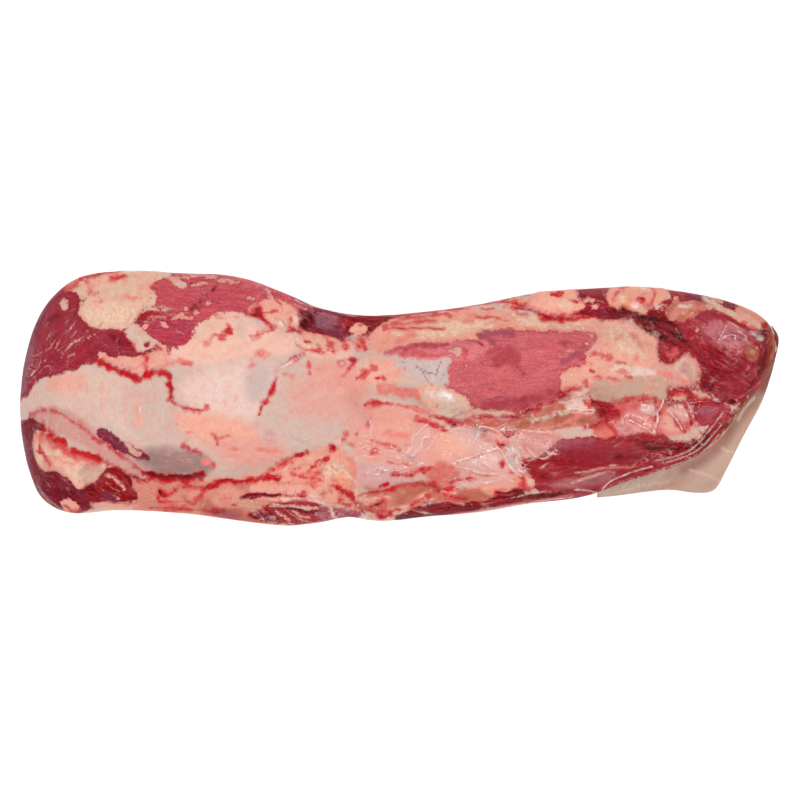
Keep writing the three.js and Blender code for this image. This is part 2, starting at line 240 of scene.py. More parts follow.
# Left end and lower left: silver skin, the pink band with its red lines, the lower fat and dark muscles
leftMarks = [
    wash("peachCream", [(45, 378), (75, 372), (90, 376), (80, 392), (52, 394)], 8),
    wash("pearlPink", [(30, 412), (50, 404), (72, 412), (100, 432), (130, 455), (148, 474), (136, 476),
        (104, 458), (66, 436), (34, 420)], 5),
    wash("silver", [(118, 380), (165, 384), (164, 440), (150, 446), (126, 430)], 8),
    streak("wash", "peachCream", 6, [(136, 400), (140, 424)], 6),
    streak("wash", "pinkCream", 1.2, [(102, 382), (101, 398), (103, 412)], 2),
    streak("wash", "pinkCream", 1, [(127, 392), (126, 424)], 2),
    # A painted bluish reflection of the film at the left edge
    streak("wash", "coolPale", 3, [(24, 400), (26, 418)], 3),
    flesh("deepRed", [(18, 424), (31, 417), (46, 428), (38, 432), (34, 443), (34, 452), (39, 465),
        (43, 471), (53, 471), (63, 473), (72, 479), (74, 488), (86, 488), (96, 482), (104, 490),
        (108, 502), (90, 506), (84, 512), (60, 520), (30, 506), (16, 470)], 1.2),
    flesh("ovalRed", [(95, 479), (101, 472), (111, 466), (126, 473), (131, 482), (136, 490), (144, 494),
        (135, 501), (120, 502), (106, 501), (99, 490)], 1.2, 1.6),
    pad("cream", [(35, 431), (44, 431), (54, 434), (66, 444), (80, 451), (98, 457), (108, 466), (99, 475),
        (94, 481), (88, 482), (82, 487), (75, 487), (72, 480), (61, 473), (53, 470), (43, 471), (39, 465),
        (33, 450)], 1.2, 1.2),
    shade("filmTan", [(78, 466), (98, 462), (104, 470), (94, 480), (82, 484)], 3),
    pad("peachCream", [(62, 500), (72, 500), (79, 505), (77, 512), (68, 514), (62, 508)], 1.2, 0.6),
    strand("peachCream", 4.5, [(94, 504), (106, 505), (120, 507), (135, 508), (146, 510)], 1, 0.4),
    stain("salmon", 74, 509, 6, 4, 2, -30),
    *several(stain, "blood", [(57, 438, 18, 5, 3, 25), (69, 451, 15, 8, 4, 20), (84, 456, 18, 5, 4, 10),
        (40, 451, 7, 6, 2.5), (97, 461, 8, 3, 2)]),
    stain("lavender", 52, 446, 12, 7, 3, -10), stain("pinkCream", 60, 462, 26, 8, 6, 8),
    smear("peachRed", 7, [(42, 438), (56, 446), (76, 456), (96, 462)], 6),
    smear("blood", 2.4, [(40, 446), (44, 456), (50, 464)], 3),
    smear("blood", 6, [(44, 433), (58, 442), (70, 450), (84, 455), (99, 459)], 4),
    vein("blood", 1.2, [(31, 414), (41, 410), (53, 409.5), (72, 420.5), (96, 437.5), (116, 452),
        (135, 466), (149, 475)], lift=-0.4),
    vein("clotRed", 2.6, [(30, 418), (38, 424), (46, 430)], lift=-0.4),
    vein("blood", 2, [(46, 429), (56, 435), (67, 446), (82, 453), (97, 457)], lift=-0.5),
    vein("clotRed", 2.6, [(97, 457), (111, 466), (128, 475), (146, 481)], lift=-0.8),
    clot("clotRed", 92, 496, 13, 9, 4, 20, -1.2), vein("clotRed", 2, [(68, 494), (80, 499), (86, 508)]),
    smear("plum", 5, [(78, 492), (86, 502), (98, 500)], 4),
    smear("wetRed", 3, [(66, 506), (72, 512), (80, 510)], 3), stain("plum", 108, 496, 18, 8, 3, 30),
    *several(strand, "marbling", [(0.9, [(106, 475), (116, 479), (123, 489)]), (1.2, [(103, 491),
        (111, 496), (118, 499)]), (1, [(46, 466), (52, 469), (60, 470)])]),
    flesh("plum", [(97, 431), (103, 429), (111, 433), (122, 443), (134, 448), (142, 452), (151, 459),
        (144, 459), (134, 457), (126, 453), (115, 449), (104, 441)], 1, -0.3),
    lump("greyCream", 129.5, 446, 9, 4, 1, 40), lump("tendon", 135, 452, 12, 6, 1, 20),
    wash("blueGrey", [(128, 452), (146, 450), (170, 447), (196, 454), (212, 462), (210, 472), (196, 476),
        (172, 476), (148, 468)], 7),
    # Painted shade: darker towards the left edge
    smear("plum", 6, [(24, 440), (27, 456), (33, 470)], 4),
]

# Middle of the head half: the pearly sheet, its red crease and arc, and the lobes of fat at its top
sheetMarks = [
    wash("palePeach", [(164, 350), (190, 338), (192, 324), (204, 314), (226, 308), (244, 312), (256, 330),
        (280, 330), (300, 336), (290, 356), (256, 352), (232, 362), (200, 366), (172, 360)], 6),
    wash("palePearl", [(200, 372), (230, 366), (262, 360), (282, 372), (268, 396), (256, 420), (222, 418),
        (190, 404), (176, 390)], 10),
    wash("coolPale", [(254, 362), (270, 364), (272, 384), (262, 402), (248, 400), (244, 378)], 8),
    wash("pinkWash", [(286, 382), (320, 372), (352, 384), (352, 412), (330, 424), (290, 414)], 10),
    wash("warmFat", [(172, 412), (214, 412), (250, 424), (260, 440), (230, 450), (190, 440)], 10),
    wash("peachPink", [(210, 436), (250, 440), (290, 446), (286, 460), (250, 466), (222, 462)], 9),
    wash("silver", [(266, 424), (300, 420), (330, 426), (330, 444), (300, 446), (272, 440)], 10),
    wash("greyCream", [(236, 318), (246, 322), (244, 340), (236, 336)], 5),
    wash("cream", [(194, 324), (208, 316), (214, 326), (206, 338), (194, 336)], 5),
    pad("warmFat", [(259, 302), (266, 299), (276, 299), (286, 303), (295, 308), (298, 316), (302, 321),
        (298, 327), (288, 327), (276, 325), (266, 318), (261, 311)], 1.2, 1.6),
    stain("redPink", 271, 312, 18, 3, 2, -8), stain("blood", 290, 322, 3, 9, 2),
    # The pale pearl spots on the fat lobe are painted highlights
    stain("palePearl", 283.5, 323, 7, 6, 3.5), stain("palePearl", 297, 319, 8, 6, 3.5, -20),
    stain("pinkCream", 268, 304, 12, 7, 3, 30), stain("redPink", 279, 302, 8, 3, 2, 30),
    patch("blood", "brownRed", [(242, 311), (250, 313), (257, 308), (261, 306), (260, 314), (263, 320),
        (256, 318), (248, 316)], 2, -0.8),
    smear("blood", 4, [(258, 308), (262, 318), (268, 325), (276, 327)], 3),
    vein("blood", 1.8, [(250, 337), (261, 334), (273, 330)]), stain("blood", 296, 331, 13, 7, 3, 15),
    clot("crevice", 292, 328.5, 7, 2.4, 1.2, 8, -0.6), stain("redPink", 227.5, 331, 8, 13, 4, 18),
    clot("blood", 227.7, 331, 4, 5, 1.5, 20, -0.8), stain("redPink", 222, 338, 8, 7, 4, -30),
    *several(stain, "salmon", [(212, 337, 8, 5, 4), (207, 344, 7, 5, 4), (218, 317, 10, 4, 3),
        (262, 354, 18, 6, 5, -5), (251, 364, 6, 14, 5, 20)]),
    smear("salmon", 5, [(163, 366), (172, 361), (184, 361), (191, 364)], 3),
    stain("redPink", 187, 364, 10, 3, 2, 8), smear("blood", 6, [(146, 374), (156, 373), (167, 374)], 4),
    smear("blood", 7, [(168, 376), (169, 390), (169, 399)], 4),
    vein("clotRed", 2.2, [(168, 374), (171, 384), (170, 396), (171, 400)], lift=-0.8),
    vein("blood", 2.4, [(154, 371.5), (162, 372), (168, 374)], lift=-0.6),
    vein("blood", 1.8, [(171, 399), (177, 404), (190, 410.5), (198, 410), (207, 407)], lift=-0.5),
    vein("blood", 1.6, [(147, 356), (146, 366), (148, 377)], 1.5),
    smear("blood", 5, [(98, 363), (108, 366), (122, 372), (131, 376), (139, 381)], 4.5),
    vein("blood", 2.2, [(98, 362), (108, 365.5), (122, 371), (131, 375), (139, 380)], 2, -0.8),
    *several(clot, "brownRed", [(101, 362.5, 6, 3.4, 2, -20, -0.6), (112, 368, 4, 2.4, 2, -30),
        (121.5, 371.5, 7, 4, 2, -20, -0.5), (130, 376, 4, 2, 2, -30)]),
    pad("peachCream", [(100, 352), (105, 353), (111, 358), (124, 356), (140, 357), (156, 352), (168, 350),
        (166, 362), (152, 372), (140, 374), (126, 367), (112, 362), (104, 360), (100, 364),
        (97, 358)], 1.2, 0.8),
    smear("blood", 3.6, [(277, 379), (271, 391), (265, 402), (260, 414)], 3),
    vein("blood", 2.2, [(274, 385), (269, 395), (264, 404)], 1.2, -0.6),
    stain("lavender", 276, 372, 8, 14, 5, 20), stain("salmon", 290, 375, 10, 5, 4, -15),
    vein("clotRed", 0.9, [(304, 353), (296, 357), (284, 364)]),
    # The white strand is a painted highlight along the film's crease line
    strand("white", 1, [(302, 356), (292, 361), (283, 367)], 0.8), stain("salmon", 191, 433, 10, 3, 3),
    stain("redPink", 215, 436, 10, 5, 4, 30), stain("redPink", 226, 437, 9, 3, 3, -20),
    stain("blood", 218, 444, 5, 4, 2.5), stain("salmon", 235, 450, 9, 4, 3),
    stain("salmon", 270, 451, 30, 5, 5, 8), stain("lavender", 268, 437, 12, 16, 6),
    vein("blood", 1.1, [(183, 446), (190, 450), (200, 453)]),
    smear("greyPearl", 2, [(292, 436), (300, 442), (308, 444)], 3),
    wash("blueGrey", [(152, 450), (184, 455), (208, 457), (214, 465), (202, 475), (178, 475),
        (152, 470)], 7),
    stain("redPink", 213.5, 467, 4, 10, 3), stain("salmon", 206, 462, 10, 8, 4),
]

# The side strip along the bottom: its creases, strands of fat, slits of lean and lumps
stripMarks = [
    wash("orangeCream", [(130, 478), (200, 480), (262, 474), (292, 456), (330, 446), (350, 452),
        (362, 500), (356, 524), (280, 530), (200, 522), (130, 516)], 4),
    wash("stripFat", [(200, 490), (240, 494), (262, 500), (276, 504), (262, 524), (236, 520),
        (206, 510)], 3),
    pad("stripFat", [(132, 478), (160, 481), (184, 482), (201, 480), (212, 484), (204, 489), (206, 500),
        (200, 508), (222, 512), (212, 518), (180, 516), (148, 512), (136, 508), (139, 497),
        (133, 488)], 1.3, 0.5),
    pad("tan", [(204, 489), (216, 485), (232, 484), (252, 485), (270, 482), (300, 483), (322, 485),
        (330, 492), (320, 498), (296, 497), (280, 492), (256, 492), (238, 497), (236, 506), (248, 514),
        (262, 526), (240, 526), (216, 518), (204, 510)], 1.3, 0.8),
    pad("stripFat", [(206, 490), (228, 487), (238, 496), (232, 502), (212, 500)], 3, 0.3),
    shade("purpleRed", [(208, 508), (226, 508), (244, 516), (240, 522), (216, 516)], 4),
    strand("peachCream", 5, [(256, 489), (276, 486), (300, 487), (316, 489)], 2, 0.5),
    smear("blood", 9, [(146, 475), (168, 479), (186, 480), (202, 477)], 4),
    # Painted shade: a soft dark smear of shadowed meat along the crease
    smear("clotRed", 3, [(150, 474), (164, 476), (180, 477), (202, 476)], 4),
    vein("clotRed", 1.6, [(144, 474), (156, 475.5), (170, 477), (186, 478), (204, 476)], 2, -1.2),
    patch("blood", "clotRed", [(157, 489), (164, 490), (168, 495), (162, 497), (159, 494)], 1, -0.6),
    *several(vein, "blood", [(1.4, [(166, 494), (182, 489), (196, 486), (204, 488)], 1, -0.4),
        (1.2, [(178, 487.5), (184, 485), (190, 486)]), (2, [(184, 500), (189, 504), (193, 505), (198, 499),
        (200, 495)], 1.5, -0.4)]),
    smear("blood", 4, [(158, 498), (164, 502), (176, 503)], 3), stain("salmon", 176, 505, 30, 4, 3, 5),
    vein("blood", 1, [(150, 509), (176, 508), (204, 511), (222, 511)]),
    smear("blood", 5, [(210, 486), (226, 480), (240, 483), (262, 478), (280, 478)], 3),
    vein("brownRed", 1.8, [(203, 489), (214, 485), (226, 480.5), (237, 482.5), (251, 481.5),
        (262, 478)], 1, -1),
    vein("clotRed", 2.6, [(262, 478), (270, 475), (279, 478)], 1, -0.9),
    vein("blood", 1.8, [(268, 474), (277, 468), (285, 462), (294, 456), (305, 452)], 1.2, -0.6),
    stain("blood", 234.5, 504.5, 7, 3, 1.5), stain("salmon", 228, 498, 9, 4, 2.5),
    flesh("stripRed", [(239, 498), (250, 494.5), (262, 492), (280, 493), (281, 496), (270, 497.5),
        (254, 498.5)], 1),
    flesh("stripRed", [(284, 493), (294, 492), (308, 493.5), (304, 497), (290, 497)], 1),
    flesh("stripRed", [(264, 507), (276, 504), (290, 500), (306, 499), (318, 502), (328, 508), (337, 517),
        (322, 522), (306, 524), (290, 526), (278, 520)], 1, 0.8),
    smear("darkRed", 4, [(241, 497.5), (256, 495.5), (279, 494.5)], 1.2),
    vein("crevice", 4.2, [(250, 515), (256, 518), (262, 521)], 1),
    smear("plum", 7, [(258, 512), (268, 518), (278, 524)], 3),
    vein("crevice", 3.4, [(265, 509), (274, 516), (282, 524)], 1, -0.4),
    vein("clotRed", 1.8, [(289, 513), (296, 519), (300, 524)], 1),
    vein("clotRed", 2.4, [(294, 520), (308, 519), (318, 520)], 1),
    vein("crevice", 1.8, [(286, 494), (294, 496), (305, 496)], 1),
    smear("darkRed", 3, [(286, 508), (300, 510), (316, 512)], 2),
    strand("tendon", 1.6, [(270, 506), (284, 505), (300, 507), (318, 508)], 1),
    strand("palePearl", 2.6, [(282, 499), (300, 497.5), (318, 501), (328, 505), (335, 517)], 1, 0.5),
    strand("marbling", 1.4, [(276, 511), (284, 517), (292, 525)], 1),
    strand("marbling", 1.2, [(286, 506), (296, 514), (312, 519)], 1), stain("blood", 317, 521, 8, 4, 2, -20),
    pad("orangeCream", [(276, 470), (288, 461), (300, 456), (318, 458), (330, 452), (344, 450), (354, 462),
        (356, 480), (350, 492), (336, 490), (322, 484), (300, 483), (284, 479)], 1.3, 0.6),
    lump("warmFat", 311, 459, 16, 9, 2, -20, 0.9), lump("warmFat", 284, 470, 12, 8, 2, -30, 0.9),
    lump("orangeCream", 300, 467, 14, 10, 2, 20, 0.8), lump("peachCream", 328, 466, 12, 10, 2, 0, 0.8),
    lump("orangeCream", 337, 477, 34, 27, 2, 25, 1.3), stain("cream", 334, 471, 20, 16, 7),
    stain("orange", 341, 483, 20, 12, 6, 30), lump("peachCream", 346, 499, 10, 7, 1.5, 10, 0.7),
    vein("blood", 1.8, [(320, 461), (327, 459), (331, 452), (333, 447)], 1.2, -0.5),
    smear("blood", 4, [(312, 466), (320, 461), (328, 458)], 3),
    vein("blood", 1.6, [(308, 473), (313, 466), (320, 468), (318, 474)], 1.2, -0.4),
    vein("blood", 1.4, [(293, 475), (302, 477), (312, 479), (318, 480)], 1.2, -0.4),
    stain("salmon", 312, 484, 16, 6, 3, 15),
    vein("blood", 1.8, [(334, 486), (341, 491), (346, 494)], 1.2, -0.4),
    smear("blood", 4, [(334, 486), (346, 492), (354, 498)], 3),
    vein("clotRed", 1.8, [(340, 500), (344, 504), (350, 506)], 1, -0.4),
    vein("clotRed", 1.5, [(345, 493), (352, 498), (358, 506), (362, 512)], 1, -0.5),
    clot("crevice", 349.5, 506.5, 5, 3, 1, 0, -0.5), stain("salmon", 352, 466, 6, 22, 4, -15),
    flesh("purpleRed", [(318, 512), (330, 508), (346, 510), (362, 513), (356, 520), (336, 524),
        (320, 526)], 2),
    strand("tendon", 1.2, [(320, 506), (330, 504), (344, 506)], 1),
]

# The waist: film drawn across the bay, the dark hollow under it, partly painted shade, and the torn fat
# round it
waistMarks = [
    wash("roseRed", [(282, 288), (330, 298), (332, 316), (300, 314), (286, 304)], 5),
    wash("salmon", [(240, 296), (262, 292), (266, 312), (246, 318)], 5),
    wash("palePeach", [(300, 331), (330, 336), (352, 342), (352, 358), (320, 360), (298, 350)], 5),
    wash("peachPink", [(308, 360), (352, 362), (372, 372), (366, 402), (340, 396), (316, 380)], 8),
    wash("warmFat", [(366, 356), (396, 360), (404, 380), (384, 386), (366, 380)], 7),
    flesh("tailRose", [(296, 288), (318, 296), (346, 300), (384, 301), (430, 298), (470, 292), (512, 284),
        (512, 296), (488, 301), (464, 305), (436, 309.5), (404, 312.5), (380, 315), (352, 314), (330, 311),
        (310, 306), (296, 300)], 1.5),
    # The thin pale lines along the top edge are painted highlights of the film
    smear("pinkLight", 1.6, [(330, 309), (356, 311), (400, 309), (444, 305), (488, 299)], 1.5),
    smear("greyPearl", 1, [(290, 298), (304, 304), (320, 308), (344, 311)], 1.2),
    smear("pinkLight", 0.9, [(286, 300), (300, 307), (316, 312), (336, 318)], 1),
    smear("pinkLight", 0.8, [(304, 309), (316, 316), (326, 326)], 1),
    smear("stripRed", 3, [(300, 297), (330, 305), (370, 307), (420, 304), (470, 298)], 3),
    flesh("plum", [(298, 306), (312, 310), (324, 311), (340, 314), (353, 317), (376, 316.5), (396, 318),
        (384, 322), (379, 328), (368, 334), (360, 334.5), (352, 336), (346, 339), (334, 338), (316, 332),
        (306, 329), (300, 320)], 1.2, -1.2),
    flesh("brownRed", [(344, 320), (353, 317.5), (378, 316.5), (398, 317), (386, 322), (379, 328),
        (370, 333), (358, 328), (348, 326)], 1.5),
    shade("purpleRed", [(310, 314), (326, 314), (338, 318), (334, 326), (318, 326)], 6),
    patch("blood", "clotRed", [(301, 316), (306, 315), (311, 322), (316, 329), (305, 331),
        (298, 327)], 3, -1.6),
    shade("mauve", [(314, 314), (330, 316), (338, 322), (330, 330), (314, 328)], 5),
    # Painted shade in the hollow under the film, dark purple
    stain("creasePurple", 309, 321, 11, 14, 3, 10),
    vein("crevice", 1.4, [(306, 329), (320, 332), (333, 337), (344, 341)], 1, -0.6),
    smear("plum", 4, [(308, 330), (322, 331), (338, 334), (346, 338)], 2),
    stain("stripRed", 346, 322, 10, 8, 3),
    pad("warmFat", [(349, 331), (352, 326), (358, 323), (365, 324), (369, 329), (362, 334),
        (354, 334)], 1.2, 0.7),
    # The lavender arc is a painted highlight of the film
    stain("redPink", 360, 325, 6, 3, 2), smear("lavender", 2, [(345, 341), (352, 336), (361, 335)], 2),
    pad("peachCream", [(300, 332), (312, 332), (324, 335), (335, 339), (345, 341), (352, 346), (346, 350),
        (330, 350), (312, 348), (300, 342)], 1.5, 0.6),
    stain("blood", 307, 341, 9, 3, 3.5, 15), stain("blood", 318, 344, 4, 4, 4),
    stain("redPink", 330, 346, 10, 6, 3, 20),
    vein("blood", 1.8, [(297, 345), (306, 350), (318, 351), (336, 351)], 1.5),
    # This cream strand is partly fat and partly the painted glint line of the film ridge over it
    strand("cream", 2, [(296, 338), (304, 345), (311, 349), (318, 345)], 1, 0.4),
    stain("lavender", 338, 341, 12, 5, 2.5, 15),
    shade("salmon", [(355, 338), (366, 336), (368, 348), (360, 353), (353, 348)], 4),
    *several(clot, "blood", [(358, 346, 3, 4, 1.5, 20), (365, 349, 4, 4, 1.5), (362, 340, 2.4, 5, 1.5, 20),
        (345, 349, 3, 4, 1.5)]),
    clot("brownRed", 353.5, 360.5, 4, 5, 2, 20, -0.3), stain("blood", 353, 361, 6, 6, 4),
    vein("clotRed", 1.1, [(353, 363), (349, 369), (345, 376)]), stain("redPink", 342, 363, 9, 9, 2.5),
    stain("warmFat", 342, 364, 4, 4, 1.5), stain("redPink", 309.5, 368, 4.5, 13, 3, -5),
    stain("blood", 380, 379, 12, 4, 3, -6), stain("redPink", 373, 368, 8, 8, 3),
    vein("clotRed", 1, [(366, 372), (362, 376), (358, 379)]),
    smear("salmon", 10, [(382, 388), (398, 391), (416, 394)], 5),
    wash("peachPink", [(340, 378), (362, 384), (360, 404), (344, 400)], 8),
]

# Middle: the bared loin muscle, the band of fat over it, grey silver skin and the tongue of fat under it
loinMarks = [
    pad("orangeCream", [(379, 327), (385, 321), (400, 318), (436, 312.5), (470, 308), (500, 302),
        (513, 303), (522, 309), (536, 313), (548, 318), (566, 320), (586, 317), (600, 318), (600, 332),
        (586, 330), (556, 331), (536, 330), (512, 328), (496, 329), (484, 334), (478, 340), (462, 339),
        (445, 342), (414, 343), (400, 346), (386, 352), (370, 352), (369, 340)], 1.5, 0.7),
    shade("cream", [(388, 334), (410, 328), (440, 322), (470, 320), (500, 322), (480, 330), (448, 336),
        (410, 340)], 5),
    shade("cream", [(510, 311), (530, 316), (560, 323), (590, 322), (590, 328), (550, 328), (516, 324)], 4),
    smear("redPink", 3, [(384, 326), (400, 323), (420, 321), (436, 322)], 3),
    smear("redPink", 2.6, [(384, 330), (402, 329), (424, 328), (444, 329)], 2.5),
    smear("blood", 1.2, [(392, 329), (412, 327), (432, 328.5), (443, 329)], 1.6),
    smear("redPink", 3, [(398, 318), (420, 316), (450, 315)], 3), stain("salmon", 472, 315, 10, 4, 2.5, 10),
    smear("redPink", 2.2, [(480, 309), (488, 309), (494, 309)], 1.5),
    smear("redPink", 2.6, [(476, 317), (488, 317), (497, 318)], 2), stain("salmon", 469, 321, 12, 5, 3),
    stain("redPink", 522, 314, 14, 4, 2.5, 10), stain("salmon", 410, 335, 16, 8, 4, -15),
    stain("salmon", 400, 340, 14, 5, 3, -10),
    strand("greyCream", 2.2, [(478, 306), (492, 305), (505, 304.5), (515, 308), (530, 313)], 1, 0.5),
    vein("clotRed", 1.8, [(333, 310), (358, 314.5), (378, 315.5), (402, 313), (434, 309.5), (464, 305),
        (488, 301), (505, 297), (520, 293.5), (534, 290.5)], 1, -0.5),
    smear("brightRed", 4, [(372, 316), (400, 314), (436, 310)], 2),
    vein("clotRed", 1.8, [(513, 307), (528, 310), (536, 312), (545, 316), (555, 317.5), (569, 317.5),
        (579, 316), (592, 316)], 1, -0.7),
    smear("blood", 5, [(540, 317), (552, 320), (562, 320)], 2.5), stain("blood", 578, 319, 22, 5, 2.5),
    flesh("loinRed", [(450, 352), (444, 350), (452, 346), (466, 342), (477, 341), (484, 344), (480, 337),
        (486, 333), (496, 328.5), (512, 327.5), (536, 329), (555, 330.5), (569, 330), (588, 328),
        (597, 335), (598, 340), (586, 345), (588, 356), (584, 366), (574, 368), (561, 371), (560, 380),
        (560, 392), (570, 391), (558, 397), (545, 404), (530, 407), (518, 413), (502, 409), (481, 411),
        (473, 408), (468, 402), (463, 397), (454, 393), (447, 387), (451, 379), (448, 371), (453, 363),
        (452, 357)], lift=0.5),
    flesh("psoasRed", [(385, 352), (392, 348), (400, 345), (414, 341.5), (430, 341), (446, 341),
        (460, 340), (477, 341), (487, 345), (480, 352), (466, 356), (446, 357), (429, 358.5), (414, 357),
        (400, 356), (391, 354)], 1.5, 0.2),
    smear("loinDark", 5, [(398, 350), (416, 346), (432, 346), (446, 345)], 4),
    smear("redPink", 3.4, [(402, 355), (416, 353), (432, 356), (446, 354)], 3),
    smear("deepRose", 1.6, [(468, 341), (478, 343), (486, 346)], 2),
    smear("purpleRed", 5, [(484, 334), (498, 332), (514, 336)], 5),
    smear("purpleRed", 3, [(478, 335), (486, 339), (495, 341)], 3),
    shade("loinDark", [(486, 352), (505, 344), (520, 352), (512, 368), (494, 366)], 8),
    shade("loinDark", [(478, 400), (508, 398), (540, 396), (556, 388), (552, 398), (520, 409),
        (486, 410)], 6),
    smear("loinDark", 3, [(560, 342), (574, 348), (582, 358)], 6),
    smear("loinDark", 3, [(500, 352), (512, 356), (524, 374)], 6),
    smear("purpleRed", 4, [(562, 362), (574, 356), (582, 348)], 5),
    *several(stain, "redPink", [(545, 346, 10, 3, 7), (500, 386, 20, 4, 8, -10), (466, 353, 7, 8, 5)]),
    lump("cream", 458, 351, 9, 8, 1, 0, 0.4), strand("marbling", 2, [(450, 351), (455, 351)], 1.2),
    lump("marbling", 466, 366, 3, 2, 1), lump("marbling", 493, 346, 4, 2, 1, 30),
    wash("coolPale", [(394, 357), (430, 358), (452, 358), (452, 378), (447, 387), (430, 384), (414, 374),
        (398, 368)], 4),
    shade("coolPale", [(408, 362), (436, 360), (446, 370), (442, 384), (424, 378)], 6),
    *several(smear, "plum", [(0.6, [(423, 370), (427, 380), (435, 387), (442, 391)], 1), (0.6, [(405, 362),
        (405, 370)], 1), (0.6, [(440, 362), (437, 372)], 1), (0.5, [(416, 366), (426, 372), (436, 376),
        (446, 374)], 1)]),
    pad("cream", [(414, 388), (428, 383), (442, 388), (454, 391), (462, 396), (467, 399), (470, 404),
        (474, 410), (466, 411), (458, 413), (450, 419), (442, 418), (430, 410), (418, 402)], 1.8, 1.2),
    # Painted shade: greyer along the lower edge of the tongue of fat
    shade("greyCream", [(440, 402), (460, 404), (464, 411), (450, 418), (438, 414)], 4),
    shade("palePearl", [(424, 388), (440, 390), (456, 397), (452, 404), (432, 400)], 6),
    stain("white", 446, 395, 12, 5, 4, 25),
    smear("redPink", 3.4, [(365, 405), (369, 403.5), (381, 403), (391, 404), (410, 406), (422, 411)], 3),
    vein("blood", 1.8, [(366, 405), (372, 403.5), (382, 403), (391, 404)], 1.4, -0.4),
    smear("salmon", 2.6, [(410, 406), (424, 412), (436, 418), (446, 421)], 2),
    smear("redPink", 5, [(417, 418), (426, 421), (436, 425), (447, 431)], 3.5),
    smear("blood", 2.4, [(419, 418.5), (428, 422), (438, 427), (444, 429)], 2.5, -0.5),
    smear("blood", 3, [(430, 416), (440, 418), (450, 421), (456, 424)], 2),
    vein("clotRed", 2, [(438, 417.5), (448, 420), (456, 424), (466, 420), (478, 417.5), (502, 418),
        (512, 418), (521, 414.5), (529, 411), (540, 406)], 1, -1),
    clot("crevice", 455, 424, 6, 4, 1.2, -20, -0.8), clot("crevice", 514, 417, 12, 3, 1.2, -5, -0.5),
    clot("clotRed", 527, 411.5, 12, 5, 1.5, -35, -0.4),
    pad("tan", [(458, 426), (468, 422), (480, 419.5), (502, 420), (514, 420), (524, 416), (532, 411),
        (546, 407), (560, 404), (572, 404), (588, 402), (606, 404), (606, 424), (590, 426), (566, 427),
        (548, 431), (530, 431), (506, 430), (484, 427), (470, 428)], 1.2, 0.9),
    pad("greyCream", [(470, 410), (490, 410.5), (512, 411.5), (516, 414), (508, 416.5), (490, 416),
        (472, 417), (462, 414)], 1.5, 0.3),
    smear("redPink", 1.6, [(462, 424), (482, 422), (506, 421.5)], 1.2),
    smear("redPink", 1.6, [(464, 427), (488, 425), (510, 425)], 1.2),
    smear("greyCream", 4, [(530, 420), (552, 416), (572, 411)], 3),
    smear("salmon", 3, [(548, 427), (566, 423), (584, 414), (590, 406)], 2.5),
]

